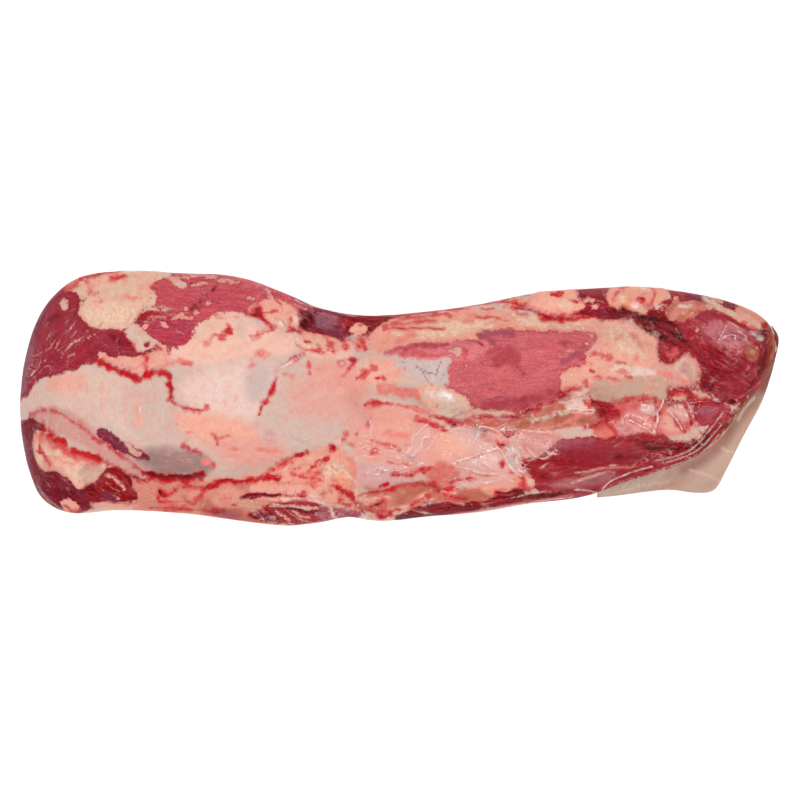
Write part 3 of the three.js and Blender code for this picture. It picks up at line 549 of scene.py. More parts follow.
# Lower middle: fat under wrinkled film, the flat tan fold, and the dark strips along the lower edge
underMarks = [
    wash("pinkWash", [(436, 426), (520, 426), (566, 432), (556, 458), (524, 484), (470, 488),
        (436, 482)], 5),
    wash("peachPink", [(352, 408), (366, 404), (392, 404), (420, 410), (446, 428), (456, 440), (448, 462),
        (430, 478), (400, 474), (372, 466), (352, 452), (344, 430)], 5),
    wash("pinkCream", [(370, 410), (396, 408), (416, 418), (410, 438), (384, 440), (372, 430)], 7),
    wash("warmFat", [(440, 430), (462, 432), (470, 440), (466, 454), (446, 462), (434, 446)], 6),
    # Painted sheen of the film, lavender
    wash("lavender", [(354, 463), (372, 462), (392, 470), (410, 474), (400, 484), (380, 488),
        (358, 488)], 7),
    wash("pinkWash", [(350, 404), (364, 410), (362, 432), (350, 436)], 7),
    wash("pinkWash", [(472, 448), (490, 442), (503, 452), (506, 468), (498, 474), (478, 466)], 5),
    wash("greyPearl", [(504, 446), (516, 445), (521, 456), (518, 470), (510, 468)], 4),
    wash("rosyFat", [(520, 434), (552, 433), (566, 438), (552, 452), (540, 458), (526, 450)], 5),
    shade("peachRed", [(428, 466), (446, 460), (458, 470), (462, 482), (444, 486), (426, 480)], 5),
    stain("lavender", 410, 458, 16, 10, 5), stain("salmon", 396, 434, 26, 8, 5, 5),
    stain("redPink", 368, 422, 4, 14, 3), stain("redPink", 373, 450, 12, 6, 4, 30),
    stain("blood", 372, 452, 4, 3, 1.5), stain("salmon", 390, 446, 26, 4, 3, 12),
    clot("blood", 332, 446, 5, 3, 1.5, 10, -0.4), stain("blood", 334, 448, 9, 5, 5),
    stain("redPink", 345, 431, 5, 4, 4), clot("blood", 357, 433.5, 4, 4, 1.5),
    stain("blood", 302, 453, 15, 5, 2, -22), stain("redPink", 345, 438, 4, 14, 3, 10),
    lump("palePearl", 340, 442, 10, 5, 1.5, 10, 0.4), stain("redPink", 352, 446, 8, 4, 2.5, 20),
    smear("redPink", 2.4, [(372, 441), (388, 445), (402, 450)], 2),
    smear("redPink", 2.4, [(388, 462), (398, 466), (408, 464)], 2),
    vein("clotRed", 1.8, [(392, 475.5), (400, 475), (412, 476)], 1.2, -0.4),
    smear("blood", 4, [(398, 476), (412, 475), (424, 470), (430, 468)], 3),
    clot("clotRed", 422, 469, 9, 3, 1.2, 0, -0.4), stain("blood", 384, 484, 11, 4, 2, -10),
    wash("tan", [(356, 486), (380, 490), (404, 484), (430, 480), (446, 484), (438, 492), (420, 490)], 4),
    pad("tan", [(360, 494), (368, 491), (384, 489.5), (398, 487), (412, 485.5), (428, 485.5), (438, 490),
        (440, 492), (432, 495), (420, 501), (406, 508), (390, 512), (372, 512), (360, 510),
        (354, 500)], 1.2, 0.9),
    shade("peachCream", [(360, 496), (376, 494), (392, 496), (380, 506), (362, 506)], 5),
    vein("blood", 1.6, [(368, 491.5), (384, 490.5), (398, 486.5), (410, 485), (424, 484.5),
        (436, 487)], 1, -0.6),
    smear("blood", 2.5, [(370, 492), (384, 491), (394, 489)], 2),
    vein("clotRed", 1.4, [(424, 485), (434, 487), (440, 492), (446, 496)], 1, -0.4),
    vein("crevice", 2.6, [(371, 506.5), (377, 504.5), (383.5, 501.5)], 1, -0.8),
    clot("crevice", 379.5, 515.5, 10, 4.6, 1.2, -6, -1), stain("blood", 386, 515, 16, 6, 2.5, -5),
    lump("orange", 372, 517, 6, 3, 1), lump("orange", 390, 513, 5, 3, 1, -10),
    strand("cream", 3, [(392, 514), (402, 511), (412, 507), (424, 499), (434, 495)], 1.2, 0.5),
    vein("blood", 1.4, [(366, 509), (372, 512), (386, 513), (396, 510), (404, 509)], 1, -0.4),
    vein("blood", 1.2, [(408, 506), (418, 501), (428, 496)], 1),
    flesh("plum", [(398, 514), (408, 511), (420, 506), (436, 503), (452, 505), (470, 507), (476, 505),
        (478, 512), (450, 518), (410, 524), (396, 522)], 1.2),
    vein("clotRed", 3.4, [(414, 509), (426, 510), (438, 508), (450, 508)], 1.4, -0.4),
    strand("tendon", 1, [(412, 509), (424, 512), (440, 516)], 1),
    pad("tan", [(436, 493), (450, 490), (470, 489), (484, 485), (502, 484), (514, 486), (506, 492),
        (490, 496), (484, 500), (470, 503), (448, 503), (436, 500), (430, 497)], 1.4, 0.5),
    lump("pinkCream", 449, 491, 9, 5, 1.5, 0, 0.4),
    smear("blood", 5, [(434, 484), (440, 489), (447, 490), (454, 487)], 3),
    vein("blood", 2.4, [(454, 481.5), (462, 480), (470, 478)], 1.4, -0.4),
    vein("clotRed", 1.6, [(434, 490), (444, 493), (452, 497), (466, 498)], 1, -0.4),
    flesh("brownRed", [(478, 494), (490, 490), (506, 491), (522, 489), (524, 494), (510, 498), (494, 502),
        (480, 502)], 1.2),
    clot("crevice", 499, 493, 12, 3.4, 1.2, 5, -0.5),
    smear("blood", 4, [(472, 503), (486, 503), (504, 502)], 2.5),
    smear("orange", 3, [(484, 504), (494, 503)], 2),
    pad("orangeCream", [(482, 486), (496, 483), (512, 482), (518, 486), (502, 489), (486, 490)], 1.5),
    pad("orangeCream", [(514, 478), (522, 476), (532, 479), (535, 486), (526, 488), (517, 487)], 1.2, 0.8),
    stain("cream", 528, 483, 7, 7, 2), stain("orange", 516, 480, 9, 5, 2.5),
    vein("blood", 2, [(512, 473), (521, 476), (524, 482), (523, 489), (529, 491)], 1.2, -0.6),
    spot("lean", "darkRed", 481, 432, 14, 7, 1.5, 20), stain("greyPearl", 480, 434, 7, 4, 2, 30),
    spot("lean", "tailRose", 509, 432.5, 8, 9, 1.5, 30),
    smear("orange", 5, [(484, 435), (492, 440), (500, 444)], 2),
    vein("blood", 2.6, [(484, 435.5), (493, 441), (500, 446), (505, 444)], 1.4, -0.4),
    clot("clotRed", 502.5, 446, 5, 3, 1.2, -10, -0.5), lump("peachCream", 498, 440, 8, 4, 1, 30),
    stain("blood", 513, 456.5, 4, 7, 1.5, -35), stain("blood", 502, 464, 6, 7, 3),
    flesh("darkRed", [(430, 508), (448, 510), (470, 505), (492, 502), (516, 498), (540, 494), (570, 491),
        (600, 492), (600, 500), (560, 504), (500, 514), (440, 524)], 1.5),
    smear("clotRed", 5, [(398, 520), (430, 516), (462, 511), (486, 506), (520, 500), (560, 494)], 3),
    smear("redPink", 1.6, [(452, 514), (478, 510), (506, 505), (536, 500), (572, 496)], 1.5),
    vein("crevice", 1.6, [(430, 514), (452, 511), (476, 507)], 1),
    vein("clotRed", 2, [(492, 503), (510, 501), (536, 497)], 1),
]

# Upper right: the fat knobs, dark strips and tendon along the edge, and the deep crease under them
upperMarks = [
    flesh("tailRed", [(568, 280), (608, 280), (608, 290), (605, 304), (612, 309), (622, 313), (618, 320),
        (600, 319), (586, 315), (578, 315), (580, 309), (586, 304), (580, 297), (572, 290)], 1.2),
    shade("plum", [(594, 314), (604, 309), (622, 314), (618, 320), (600, 319)], 3),
    # These pale lumps are partly fat and partly painted highlights on the dark muscle
    lump("marbling", 588, 300, 12, 3, 1), lump("pinkCream", 595, 306, 8, 4, 1.2, 10, 0.4),
    pad("warmFat", [(526, 301), (536, 293), (542, 289), (550, 290), (561, 284), (572, 288), (579, 293),
        (576, 300), (584, 303), (585, 308), (574, 314), (562, 315), (552, 314), (540, 310),
        (530, 306)], 1.2, 1.5),
    stain("blood", 558, 294, 15, 7, 3), stain("blood", 573, 301, 10, 3, 2, 10),
    stain("salmon", 545, 291, 10, 3, 2, -20), stain("cream", 566, 305, 16, 8, 4),
    pad("orange", [(508, 302), (514, 299), (526, 299), (528, 303), (516, 305)], 1.2, 0.4),
    vein("clotRed", 1.6, [(502, 300), (510, 303), (524, 306)], 1), lump("white", 501, 299, 7, 2, 1, -15),
    pad("orangeCream", [(606, 300), (608, 291), (622, 282), (636, 280), (652, 284), (664, 288), (672, 294),
        (664, 301), (656, 303), (648, 304), (640, 308), (629, 312), (617, 311), (610, 305)], 1.2, 1.7),
    stain("orange", 628, 304, 9, 12, 4, 10), stain("cream", 622, 299, 9, 8, 4),
    # The pale pearl spot on the knob is a painted glint
    stain("palePearl", 635, 305, 7, 6, 3, 25), stain("cream", 648, 289, 14, 5, 3, 10),
    smear("redPink", 3, [(650, 286), (656, 294), (652, 302)], 3),
    smear("redPink", 2, [(612, 300), (618, 290), (630, 285)], 3), clot("blood", 641, 298, 8, 5, 2, 30, -0.4),
    stain("blood", 640, 298, 12, 8, 3, 30),
    flesh("stripRed", [(654, 286), (672, 289), (700, 293), (724, 300), (740, 308), (742, 312), (728, 306),
        (712, 301), (696, 300), (680, 301), (668, 306), (660, 302), (664, 294)], 1.5),
    shade("plum", [(678, 292), (696, 294), (708, 298), (704, 301), (690, 299)], 2.5),
    lump("pinkCream", 667.5, 297, 7, 4, 1, -30), lump("palePearl", 675, 300, 6, 6, 1.2),
    vein("clotRed", 2, [(646, 305), (656, 307), (667, 309)], 1.2, -0.5),
    clot("crevice", 665, 308.5, 5, 3, 1),
    pad("orangeCream", [(636, 314), (640, 310), (648, 308), (649, 311), (642, 317)], 1, 0.4),
    flesh("brownRed", [(646, 309), (668, 310), (676, 320), (690, 326), (688, 340), (676, 328), (658, 319),
        (640, 320)], 1.2),
    pad("tan", [(667, 310), (672, 304), (680, 301), (695, 300), (707, 304), (706, 310), (696, 314),
        (688, 318), (683, 323), (672, 322), (668, 316)], 1.2, 1),
    stain("orange", 688, 313, 9, 6, 3, -20), stain("greyCream", 686, 306, 14, 4, 3, -5),
    flesh("tailRed", [(694, 318), (708, 310), (716, 311), (736, 320), (752, 330), (762, 332), (776, 326),
        (779, 345), (774, 366), (765, 384), (752, 398), (738, 404), (724, 402), (712, 394), (700, 388),
        (696, 378), (700, 364), (688, 351), (680, 334), (684, 324)], 1.2),
    flesh("tailRose", [(684, 322), (700, 320), (716, 322), (736, 328), (750, 338), (752, 350), (738, 352),
        (720, 344), (704, 340), (692, 336)], 4),
    spot("lean", "plum", 727, 306, 20, 6, 1.2, 22), clot("crevice", 733, 304.5, 8, 3.5, 1.2, 25),
    pad("stripFat", [(738, 306), (748, 310), (760, 316), (772, 324), (770, 330), (762, 327), (752, 322),
        (742, 316), (734, 310)], 1.5, 0.6),
    strand("tendon", 4.6, [(712, 302), (720, 308), (732, 314), (744, 321), (756, 328)], 1.2, 1),
    strand("tendon", 2, [(708, 297), (716, 299), (722, 302)], 1),
    smear("greyCream", 3, [(704, 298), (712, 303)], 2),
    smear("stripRed", 3, [(700, 312), (714, 313), (728, 318)], 2),
    vein("clotRed", 1.4, [(716, 312), (730, 318), (744, 326), (758, 331)], 1),
    vein("clotRed", 2.6, [(575, 315), (600, 318), (617, 315.5), (629, 317), (642, 322),
        (652, 330)], 1.2, -0.9),
    # Painted shade along the deep crease, dark purple
    shade("creasePurple", [(606, 308), (622, 308), (640, 314), (660, 318), (676, 326), (686, 340),
        (688, 352), (674, 344), (656, 338), (640, 326), (620, 318)], 4),
    *several(vein, "crevice", [(3.4, [(610, 309), (622, 313), (634, 316), (646, 322)], 1.5, -1.2),
        (4.6, [(640, 320), (652, 327), (664, 332), (676, 339), (687, 350)], 3, -1.4), (2.6, [(655, 322),
        (668, 326), (678, 333)], 2.5, -0.8)]),
    vein("clotRed", 3, [(684, 344), (694, 354), (706, 364), (716, 372)], 2.5, -0.6),
    stain("plum", 664, 328, 14, 6, 3, 20), vein("clotRed", 2.6, [(689, 322), (693, 330), (690, 338)], 1.5),
    lump("tan", 691, 338, 5, 4, 1), lump("orangeCream", 697, 330, 4, 2, 1),
]

# Right: the big fat patch, the pale sheet and tendon block, the tail muscles and the juice at the end
tailMarks = [
    pad("peachCream", [(590, 322), (606, 321), (618, 321), (632, 323), (641, 325), (652, 333), (657, 339),
        (658, 356), (662, 362), (672, 364), (685, 357), (698, 360), (698, 372), (697, 380), (690, 384),
        (672, 384), (640, 380), (610, 385), (594, 388), (586, 396), (574, 396), (562, 394), (561, 383),
        (560, 374), (574, 368), (586, 366), (588, 360), (584, 354), (598, 343), (598, 337),
        (594, 330)], 1.2, 1.3),
    shade("cream", [(600, 326), (624, 326), (642, 334), (648, 350), (640, 362), (620, 350), (606, 336)], 7),
    pad("marbling", [(658, 364), (672, 363), (685, 357), (698, 361), (698, 374), (698, 382), (680, 383),
        (662, 380), (650, 374)], 3),
    stain("pearlPink", 688, 371, 20, 14, 5, 40),
    strand("cream", 1.2, [(678, 366), (684, 372), (690, 377)], 1),
    strand("cream", 1, [(684, 363), (691, 370), (695, 376)], 1),
    smear("salmon", 4, [(660, 372), (674, 378), (692, 382)], 3), stain("redPink", 602, 356, 22, 6, 5, 8),
    stain("redPink", 620, 362.5, 11, 5, 3, 10),
    *several(stain, "salmon", [(636, 358, 6, 11, 3, 10), (618, 338, 9, 4, 3, -20),
        (634, 336, 6, 10, 4, -30), (641, 346, 5, 12, 4, -20)]),
    stain("blood", 592, 371, 5, 5, 2, 20),
    *several(stain, "redPink", [(597, 379, 8, 6, 3), (613, 379, 13, 4, 2), (628, 377, 9, 4, 2, 10)]),
    stain("salmon", 622, 372, 12, 4, 2.5, 10), stain("redPink", 578, 388, 12, 7, 3),
    stain("redPink", 586, 384, 6, 10, 3),
    strand("palePearl", 1.6, [(616, 369), (632, 372), (652, 374)], 1, 0.3),
    stain("loinRed", 590, 339, 9, 9, 3), strand("greyCream", 2.4, [(586, 344), (590, 338), (592, 335)], 1),
    flesh("stripRed", [(657, 338), (667, 338), (676, 341), (686, 350), (684, 356), (677, 359), (671, 364),
        (661, 361), (658, 354)], 1.2),
    shade("redPink", [(664, 352), (676, 346), (680, 354), (670, 360)], 3),
    clot("clotRed", 670, 351, 3, 4, 1), vein("clotRed", 1.2, [(662, 361), (671, 364), (676, 359)], 1),
    wash("redPink", [(590, 400), (612, 402), (650, 402), (668, 398), (690, 398), (696, 414), (692, 430),
        (670, 436), (640, 436), (606, 436), (590, 428)], 4),
    wash("pinkLight", [(622, 412), (640, 412), (656, 424), (650, 434), (630, 430)], 5),
    wash("peachPink", [(660, 414), (676, 416), (684, 428), (676, 434), (660, 430)], 5),
    wash("marbling", [(664, 408), (684, 402), (692, 410), (690, 422), (676, 416)], 4),
    wash("greyCream", [(638, 408), (652, 404), (656, 412), (644, 414)], 3),
    pad("blockTan", [(593, 388), (597, 385), (620, 382), (645, 379), (664, 377), (668, 378), (669, 386),
        (667, 398), (660, 400), (640, 400), (616, 402), (596, 402), (592, 397)], 1, 1.2),
    smear("marbling", 2, [(640, 379), (660, 377), (670, 382)], 2),
    vein("blood", 1.2, [(612, 400), (636, 398), (656, 398)], 1.2),
    flesh("stripRed", [(668, 390), (680, 391), (694, 390), (706, 394), (712, 402), (698, 404), (680, 402),
        (670, 404), (664, 400)], 2.5),
    vein("blood", 2.4, [(668, 392), (680, 392), (692, 396), (706, 402), (722, 401)], 1.4, -0.8),
    vein("crevice", 1.6, [(704, 400), (718, 402), (734, 399)], 1, -0.6),
    lump("tendon", 681, 396, 15, 6, 1.2, -8, 0.6),
    pad("tendon", [(692, 393), (700, 390), (707, 395), (711, 400), (702, 400), (695, 397)], 1.2, 0.6),
    vein("blood", 2.2, [(694, 399), (704, 402), (712, 402)], 1.2),
    # A rosy painted sheen of the film over the tail muscle
    shade("rosyFilm", [(700, 322), (730, 322), (752, 338), (744, 352), (726, 348), (708, 338)], 7),
    smear("deepRed", 2.2, [(717, 348), (729, 358), (742, 366)], 1.5),
    vein("clotRed", 1, [(717, 348), (729, 358), (742, 365)], 1, -0.6),
    smear("deepRed", 2, [(697, 360), (708, 368), (718, 374)], 1.5), stain("deepRed", 708, 376, 16, 6, 4),
    stain("deepRed", 708, 386, 14, 6, 4, 10), vein("clotRed", 0.9, [(700, 344), (712, 351), (724, 361)], 1),
    shade("tailRose", [(722, 376), (740, 372), (750, 378), (742, 388), (726, 388)], 4),
    shade("tan", [(746, 348), (756, 346), (760, 356), (750, 362), (744, 356)], 4),
    stain("stripFat", 753, 351, 6, 4, 2), stain("brightRed", 764, 325, 9, 6, 3, 50),
    # The grey pearl stain at the right end is a painted glint
    stain("orange", 757, 349, 3, 2, 1.5), stain("greyPearl", 757, 335, 14, 8, 3, 35),
    stain("crevice", 762, 334, 6, 5, 2), stain("clotRed", 761, 361, 7, 14, 3, 15),
    clot("crevice", 761, 356, 3, 6, 1.5, 10), smear("clotRed", 3, [(766, 366), (758, 378), (748, 388)], 2),
    smear("redPink", 1.6, [(756, 380), (746, 391), (738, 401)], 2),
    smear("blood", 3, [(768, 374), (758, 386), (748, 398)], 2),
    shade("juice", [(766, 318), (790, 318), (796, 348), (792, 368), (774, 392), (760, 388), (767, 366),
        (768, 346), (765, 332)], 2),
    smear("clotRed", 2.4, [(764, 330), (767, 348), (764, 366), (756, 380), (745, 393)], 2.5),
    smear("tan", 1, [(772, 330), (774, 344), (771, 360)], 1.5),
    # A pale fat knob, its whiteness partly its painted glint
    pad("palePearl", [(569, 398), (578, 392), (588, 394), (594, 404), (592, 410), (578, 411),
        (570, 408)], 2, 0.6),
    vein("blood", 3, [(552, 402), (560, 398), (568, 392)], 2),
    *several(vein, "clotRed", [(1.2, [(556, 401), (562, 397)], 1), (1.2, [(559, 394), (566, 392),
        (572, 390)], 1), (1.1, [(562, 397), (568, 396)], 1)]),
    flesh("brightRed", [(585, 398), (596, 397), (604, 402), (614, 408), (620, 414), (610, 420), (600, 414),
        (590, 408)], 2),
    patch("blood", "brownRed", [(588, 402), (598, 400), (606, 407), (612, 416), (604, 420),
        (597, 414)], 1.4, -0.8),
    vein("crevice", 1.3, [(582, 396), (586, 403), (590, 408)], 1, -0.3),
    lump("tan", 601, 418, 9, 9, 1.2, 0, 0.6), clot("brownRed", 600.5, 417.5, 3, 3, 1),
    vein("clotRed", 2.4, [(586, 427), (596, 425), (604, 421)], 1.2, -0.5),
    shade("peachRed", [(592, 428), (608, 424), (616, 430), (612, 437), (596, 437)], 3),
    smear("blood", 3, [(606, 422), (614, 430), (618, 436)], 2),
    smear("blood", 2.4, [(630, 419), (640, 426), (650, 431)], 1.6),
    smear("redPink", 4, [(620, 404), (640, 402), (654, 402)], 3),
    clot("clotRed", 659, 412, 4, 5, 1.2, 30, -0.4),
    *several(smear, "brightRed", [(3, [(654, 402), (658, 410), (654, 420)], 2), (3, [(672, 414),
        (678, 422), (684, 431)], 2), (3, [(684, 404), (689, 414), (692, 424)], 2)]),
    flesh("deepRose", [(548, 452), (553, 446), (560, 440), (584, 438), (606, 437), (628, 436), (644, 434),
        (660, 434), (672, 440), (678, 445), (700, 444), (708, 430), (720, 418), (730, 420), (716, 440),
        (700, 452), (680, 464), (656, 470), (636, 478), (612, 488), (600, 496), (586, 492), (560, 492),
        (536, 490), (533, 482), (530, 474), (522, 464), (526, 458), (536, 460)], 1.4),
    shade("purpleRed", [(552, 444), (570, 439), (596, 440), (592, 446), (568, 450), (552, 452)], 4),
    shade("tailRed", [(560, 450), (600, 448), (640, 452), (660, 458), (620, 462), (570, 460)], 7),
    shade("deepRose", [(590, 470), (620, 466), (650, 462), (640, 470), (606, 480), (580, 484)], 4),
    vein("crevice", 3, [(650, 444), (664, 446), (682, 446), (698, 444)], 2.2, -1.2),
    smear("clotRed", 8, [(640, 444), (664, 447), (690, 448), (706, 440)], 4),
    clot("clotRed", 641, 438.5, 4, 8, 1.5, 0, -0.4),
    vein("clotRed", 1.5, [(630, 438), (638, 443), (648, 445)], 1), stain("clotRed", 619, 456, 7, 5, 3, 20),
    vein("crevice", 2.4, [(522, 461), (534, 463), (546, 461), (558, 462.5)], 1.4, -1),
    vein("clotRed", 2, [(556, 462), (572, 462), (590, 464), (606, 466)], 1.2, -0.6),
    vein("crevice", 3.4, [(525, 465), (532, 471), (541, 476), (552, 480)], 1.4, -1.4),
    vein("clotRed", 3, [(548, 479), (562, 483), (576, 486), (592, 490)], 1.4, -1.2),
    stain("greyCream", 531, 460, 12, 3, 2),
    # A small rosy painted sheen of the film
    shade("rosyFilm", [(520, 464), (527, 466), (530, 474), (524, 476)], 2.5),
    smear("peachRed", 1.4, [(578, 480), (600, 472), (626, 466), (648, 466)], 1.2),
    smear("marbling", 1.4, [(576, 474), (596, 468), (616, 465)], 1.2),
    smear("marbling", 1.4, [(570, 484), (588, 478), (604, 472)], 1.2),
    vein("crevice", 3, [(600, 493), (610, 483), (624, 478), (640, 470), (654, 467)], 1.2, -1),
    vein("clotRed", 3, [(604, 492), (618, 484), (636, 476), (650, 470)], 1.2, -0.5),
    smear("peachRed", 2.4, [(604, 494), (620, 487), (632, 481)], 1.5),
    wash("filmTan", [(620, 484), (650, 470), (684, 466), (700, 460), (716, 446), (740, 410), (790, 380),
        (760, 520), (600, 510), (606, 494)], 2),
    flesh("tailRose", [(692, 408), (706, 400), (722, 402), (731, 410), (728, 422), (716, 430), (704, 428),
        (694, 420)], 1.6, 1),
    stain("purpleRed", 708, 412, 16, 12, 6),
    vein("clotRed", 2.6, [(731, 408), (729, 416), (720, 428)], 1.2, -0.5),
    clot("crevice", 732, 402, 11, 6, 1.2, 15, -0.5),
    # The grey pearl strand is a painted glint on the knot
    strand("greyPearl", 1, [(728, 400), (733, 403), (737, 401)], 1),
    patch("blood", "clotRed", [(701, 434), (708, 428), (712, 430), (704, 439)], 1.2, -0.3),
    pad("tendon", [(676, 440), (684, 434), (698, 428), (709, 424), (707, 429), (701, 439), (690, 443),
        (680, 443)], 1.2, 0.6),
    vein("crevice", 2, [(664, 459), (684, 453), (698, 446), (708, 432), (722, 416)], 1.2, -0.5),
    vein("clotRed", 2, [(672, 463), (690, 457), (706, 445), (719, 430)], 1.2, -0.5),
    smear("juice", 5, [(680, 465), (700, 456), (714, 443), (724, 430), (738, 410), (756, 390)], 2),
    smear("orange", 1.6, [(694, 462), (708, 451), (718, 440)], 1.2),
    smear("brightRed", 3, [(640, 466), (664, 464), (686, 459)], 2),
]

# Wrinkles and ridges of the film: width in pixels, height in mm, points in pixels
filmRidges = [
    (3.2, 1, [(622, 425), (622, 418), (629, 413.5), (636, 416), (642, 419)]),
    (3.2, 1, [(629, 420), (642, 427), (650, 432), (655, 433)]),
    (3.2, 1.1, [(663, 400), (661, 407), (657, 412), (658, 419), (655, 428), (654, 433)]),
    (3, 0.8, [(650, 412), (653, 406), (657, 404)]), (3.2, 0.9, [(668, 411), (675, 418), (682, 429)]),
    (3, 0.8, [(668, 410), (672, 405), (680, 404), (684, 411)]),
    (3, 0.9, [(686, 401), (690, 409), (693, 418)]), (3, 0.7, [(612, 420), (618, 430)]),
    (3, 0.7, [(586, 422), (590, 438)]), (3, 0.6, [(649, 434), (653, 432), (656, 434)]),
    (3.4, 1.1, [(527, 447), (535, 456), (545, 458.5), (550, 455), (553, 451)]),
    (3, 0.9, [(520, 447), (525, 452)]),
    (3.4, 1.1, [(495, 444), (502, 452), (506, 462), (513, 471), (521, 476)]),
    (3, 0.8, [(512, 456), (518, 465)]), (3.2, 1, [(449, 432), (454, 429), (462, 428)]),
    (3.2, 1, [(473, 430), (479, 427), (489, 428), (497, 431)]),
    (3.2, 1, [(503, 432), (508, 430), (521, 430), (536, 432.5), (550, 432.5)]),
    (3.4, 1.1, [(450, 463.5), (462, 460), (480, 453), (496, 448)]),
    (3.2, 0.9, [(455, 461), (470, 456), (484, 452)]),
    (3.4, 1.1, [(451, 464), (466, 468), (482, 473), (497, 474)]),
    (3.2, 0.9, [(480, 460), (490, 468), (497, 473)]),
    (3.2, 0.9, [(449, 480), (457, 478), (461, 473), (455, 466)]),
    (3.2, 0.8, [(503, 475), (509, 479), (515, 481)]), (3.2, 0.8, [(470, 479), (482, 483), (496, 480)]),
    (3, 0.6, [(467, 442), (464, 450), (462, 456)]), (3.4, 1, [(371, 463), (378, 468), (386, 470)]),
    (3.4, 1, [(391, 470), (398, 470), (404, 467)]), (3.4, 1, [(400, 463), (406, 467)]),
    (3.4, 0.9, [(362, 447), (374, 450), (388, 455), (400, 458)]),
    (4, 1, [(408, 450), (412, 440), (420, 430), (427, 425)]), (4, 1, [(412, 456), (420, 446), (425, 436)]),
    (3.4, 0.8, [(424, 452), (430, 446), (434, 438)]), (4, 0.8, [(367, 416), (372, 424), (370, 434)]),
    (3.4, 0.7, [(388, 446), (402, 450), (410, 453)]), (3.4, 0.8, [(344, 470), (350, 476), (356, 481)]),
    (2.8, 0.7, [(295, 338), (302, 344), (309, 348)]), (3.2, 0.8, [(302, 355), (292, 361), (283, 367)]),
    (3.4, 0.7, [(345, 340), (352, 336), (361, 335)]),
    (3, 0.9, [(282, 499), (300, 498), (318, 501), (329, 505), (335, 517)]),
    (3, 0.7, [(270, 506), (284, 505), (304, 507)]), (3, 0.7, [(286, 508), (296, 516), (312, 521)]),
    (3, 0.8, [(356, 486), (356, 498), (360, 510), (367, 518)]),
    (2.8, 0.6, [(322, 506), (334, 503), (344, 506), (352, 512)]),
    (2.8, 0.6, [(412, 509), (424, 512), (438, 515)]),
    (3.2, 0.9, [(452, 514), (478, 510), (506, 505), (536, 500), (572, 496)]),
    (3.2, 0.8, [(575, 489), (588, 490), (598, 492)]),
    (3.2, 1, [(599, 494), (606, 483), (618, 476), (636, 470), (652, 466)]),
    (3.2, 1, [(600, 495), (614, 487), (630, 480)]),
    (3, 0.8, [(655, 460), (673, 457), (690, 450), (700, 442), (710, 428), (722, 413)]),
    (3, 0.8, [(666, 462), (682, 457), (698, 450), (710, 438), (720, 424)]),
    (3, 0.8, [(671, 465), (690, 459), (706, 449), (718, 434)]),
    (3.2, 1, [(679, 467), (690, 463), (700, 458), (713, 451), (724, 443)]),
    (3, 0.7, [(744, 407), (738, 414), (734, 424)]), (3, 0.7, [(750, 404), (742, 418), (736, 430)]),
    (3, 0.8, [(716, 440), (724, 436), (730, 428)]), (2.8, 0.7, [(718, 342), (722, 334), (727, 325)]),
    (2.8, 0.7, [(721, 340), (730, 334), (736, 336), (734, 342)]),
    (2.8, 0.7, [(737, 330), (742, 334), (748, 337), (742, 342)]),
    (2.8, 0.6, [(728, 322), (736, 326), (744, 332)]), (2.6, 0.5, [(717, 347), (724, 352), (731, 358)]),
    (2.6, 0.5, [(722, 356), (728, 362)]), (2.6, 0.5, [(726, 352), (734, 360)]),
    (2.8, 0.6, [(750, 331), (757, 337), (763, 336)]), (2.8, 0.5, [(764, 378), (754, 386), (742, 396)]),
    (2.8, 0.6, [(588, 300), (598, 301), (604, 303)]), (3, 0.7, [(636, 299), (638, 305)]),
    (3, 0.6, [(38, 484), (48, 498), (62, 508)]), (2.6, 0.6, [(40, 490), (50, 503), (64, 512)]),
    (2.6, 0.4, [(24, 360), (30, 338), (40, 316), (54, 294)]), (2.6, 0.4, [(22, 392), (24, 372), (28, 352)]),
    (2.6, 0.5, [(166, 276), (190, 273), (216, 276)]), (2.6, 0.4, [(226, 280), (240, 281), (258, 286)]),
    (2.6, 0.5, [(263, 287), (268, 294), (274, 300)]), (2.6, 0.5, [(286, 296), (294, 301), (306, 305)]),
    (2.6, 0.4, [(236, 299), (248, 297), (258, 300)]), (2.6, 0.4, [(520, 410), (548, 405), (558, 399)]),
    (3.6, 1, [(570, 410), (580, 409), (592, 410)]), (3, 0.8, [(575, 398), (582, 395), (588, 401)]),
    (3, 0.6, [(581, 474), (602, 468), (618, 465)]), (3, 0.6, [(572, 484), (590, 477), (610, 470)]),
    (2.6, 0.5, [(618, 369), (634, 372), (652, 374)]), (2.6, 0.5, [(682, 365), (690, 372), (695, 378)]),
]

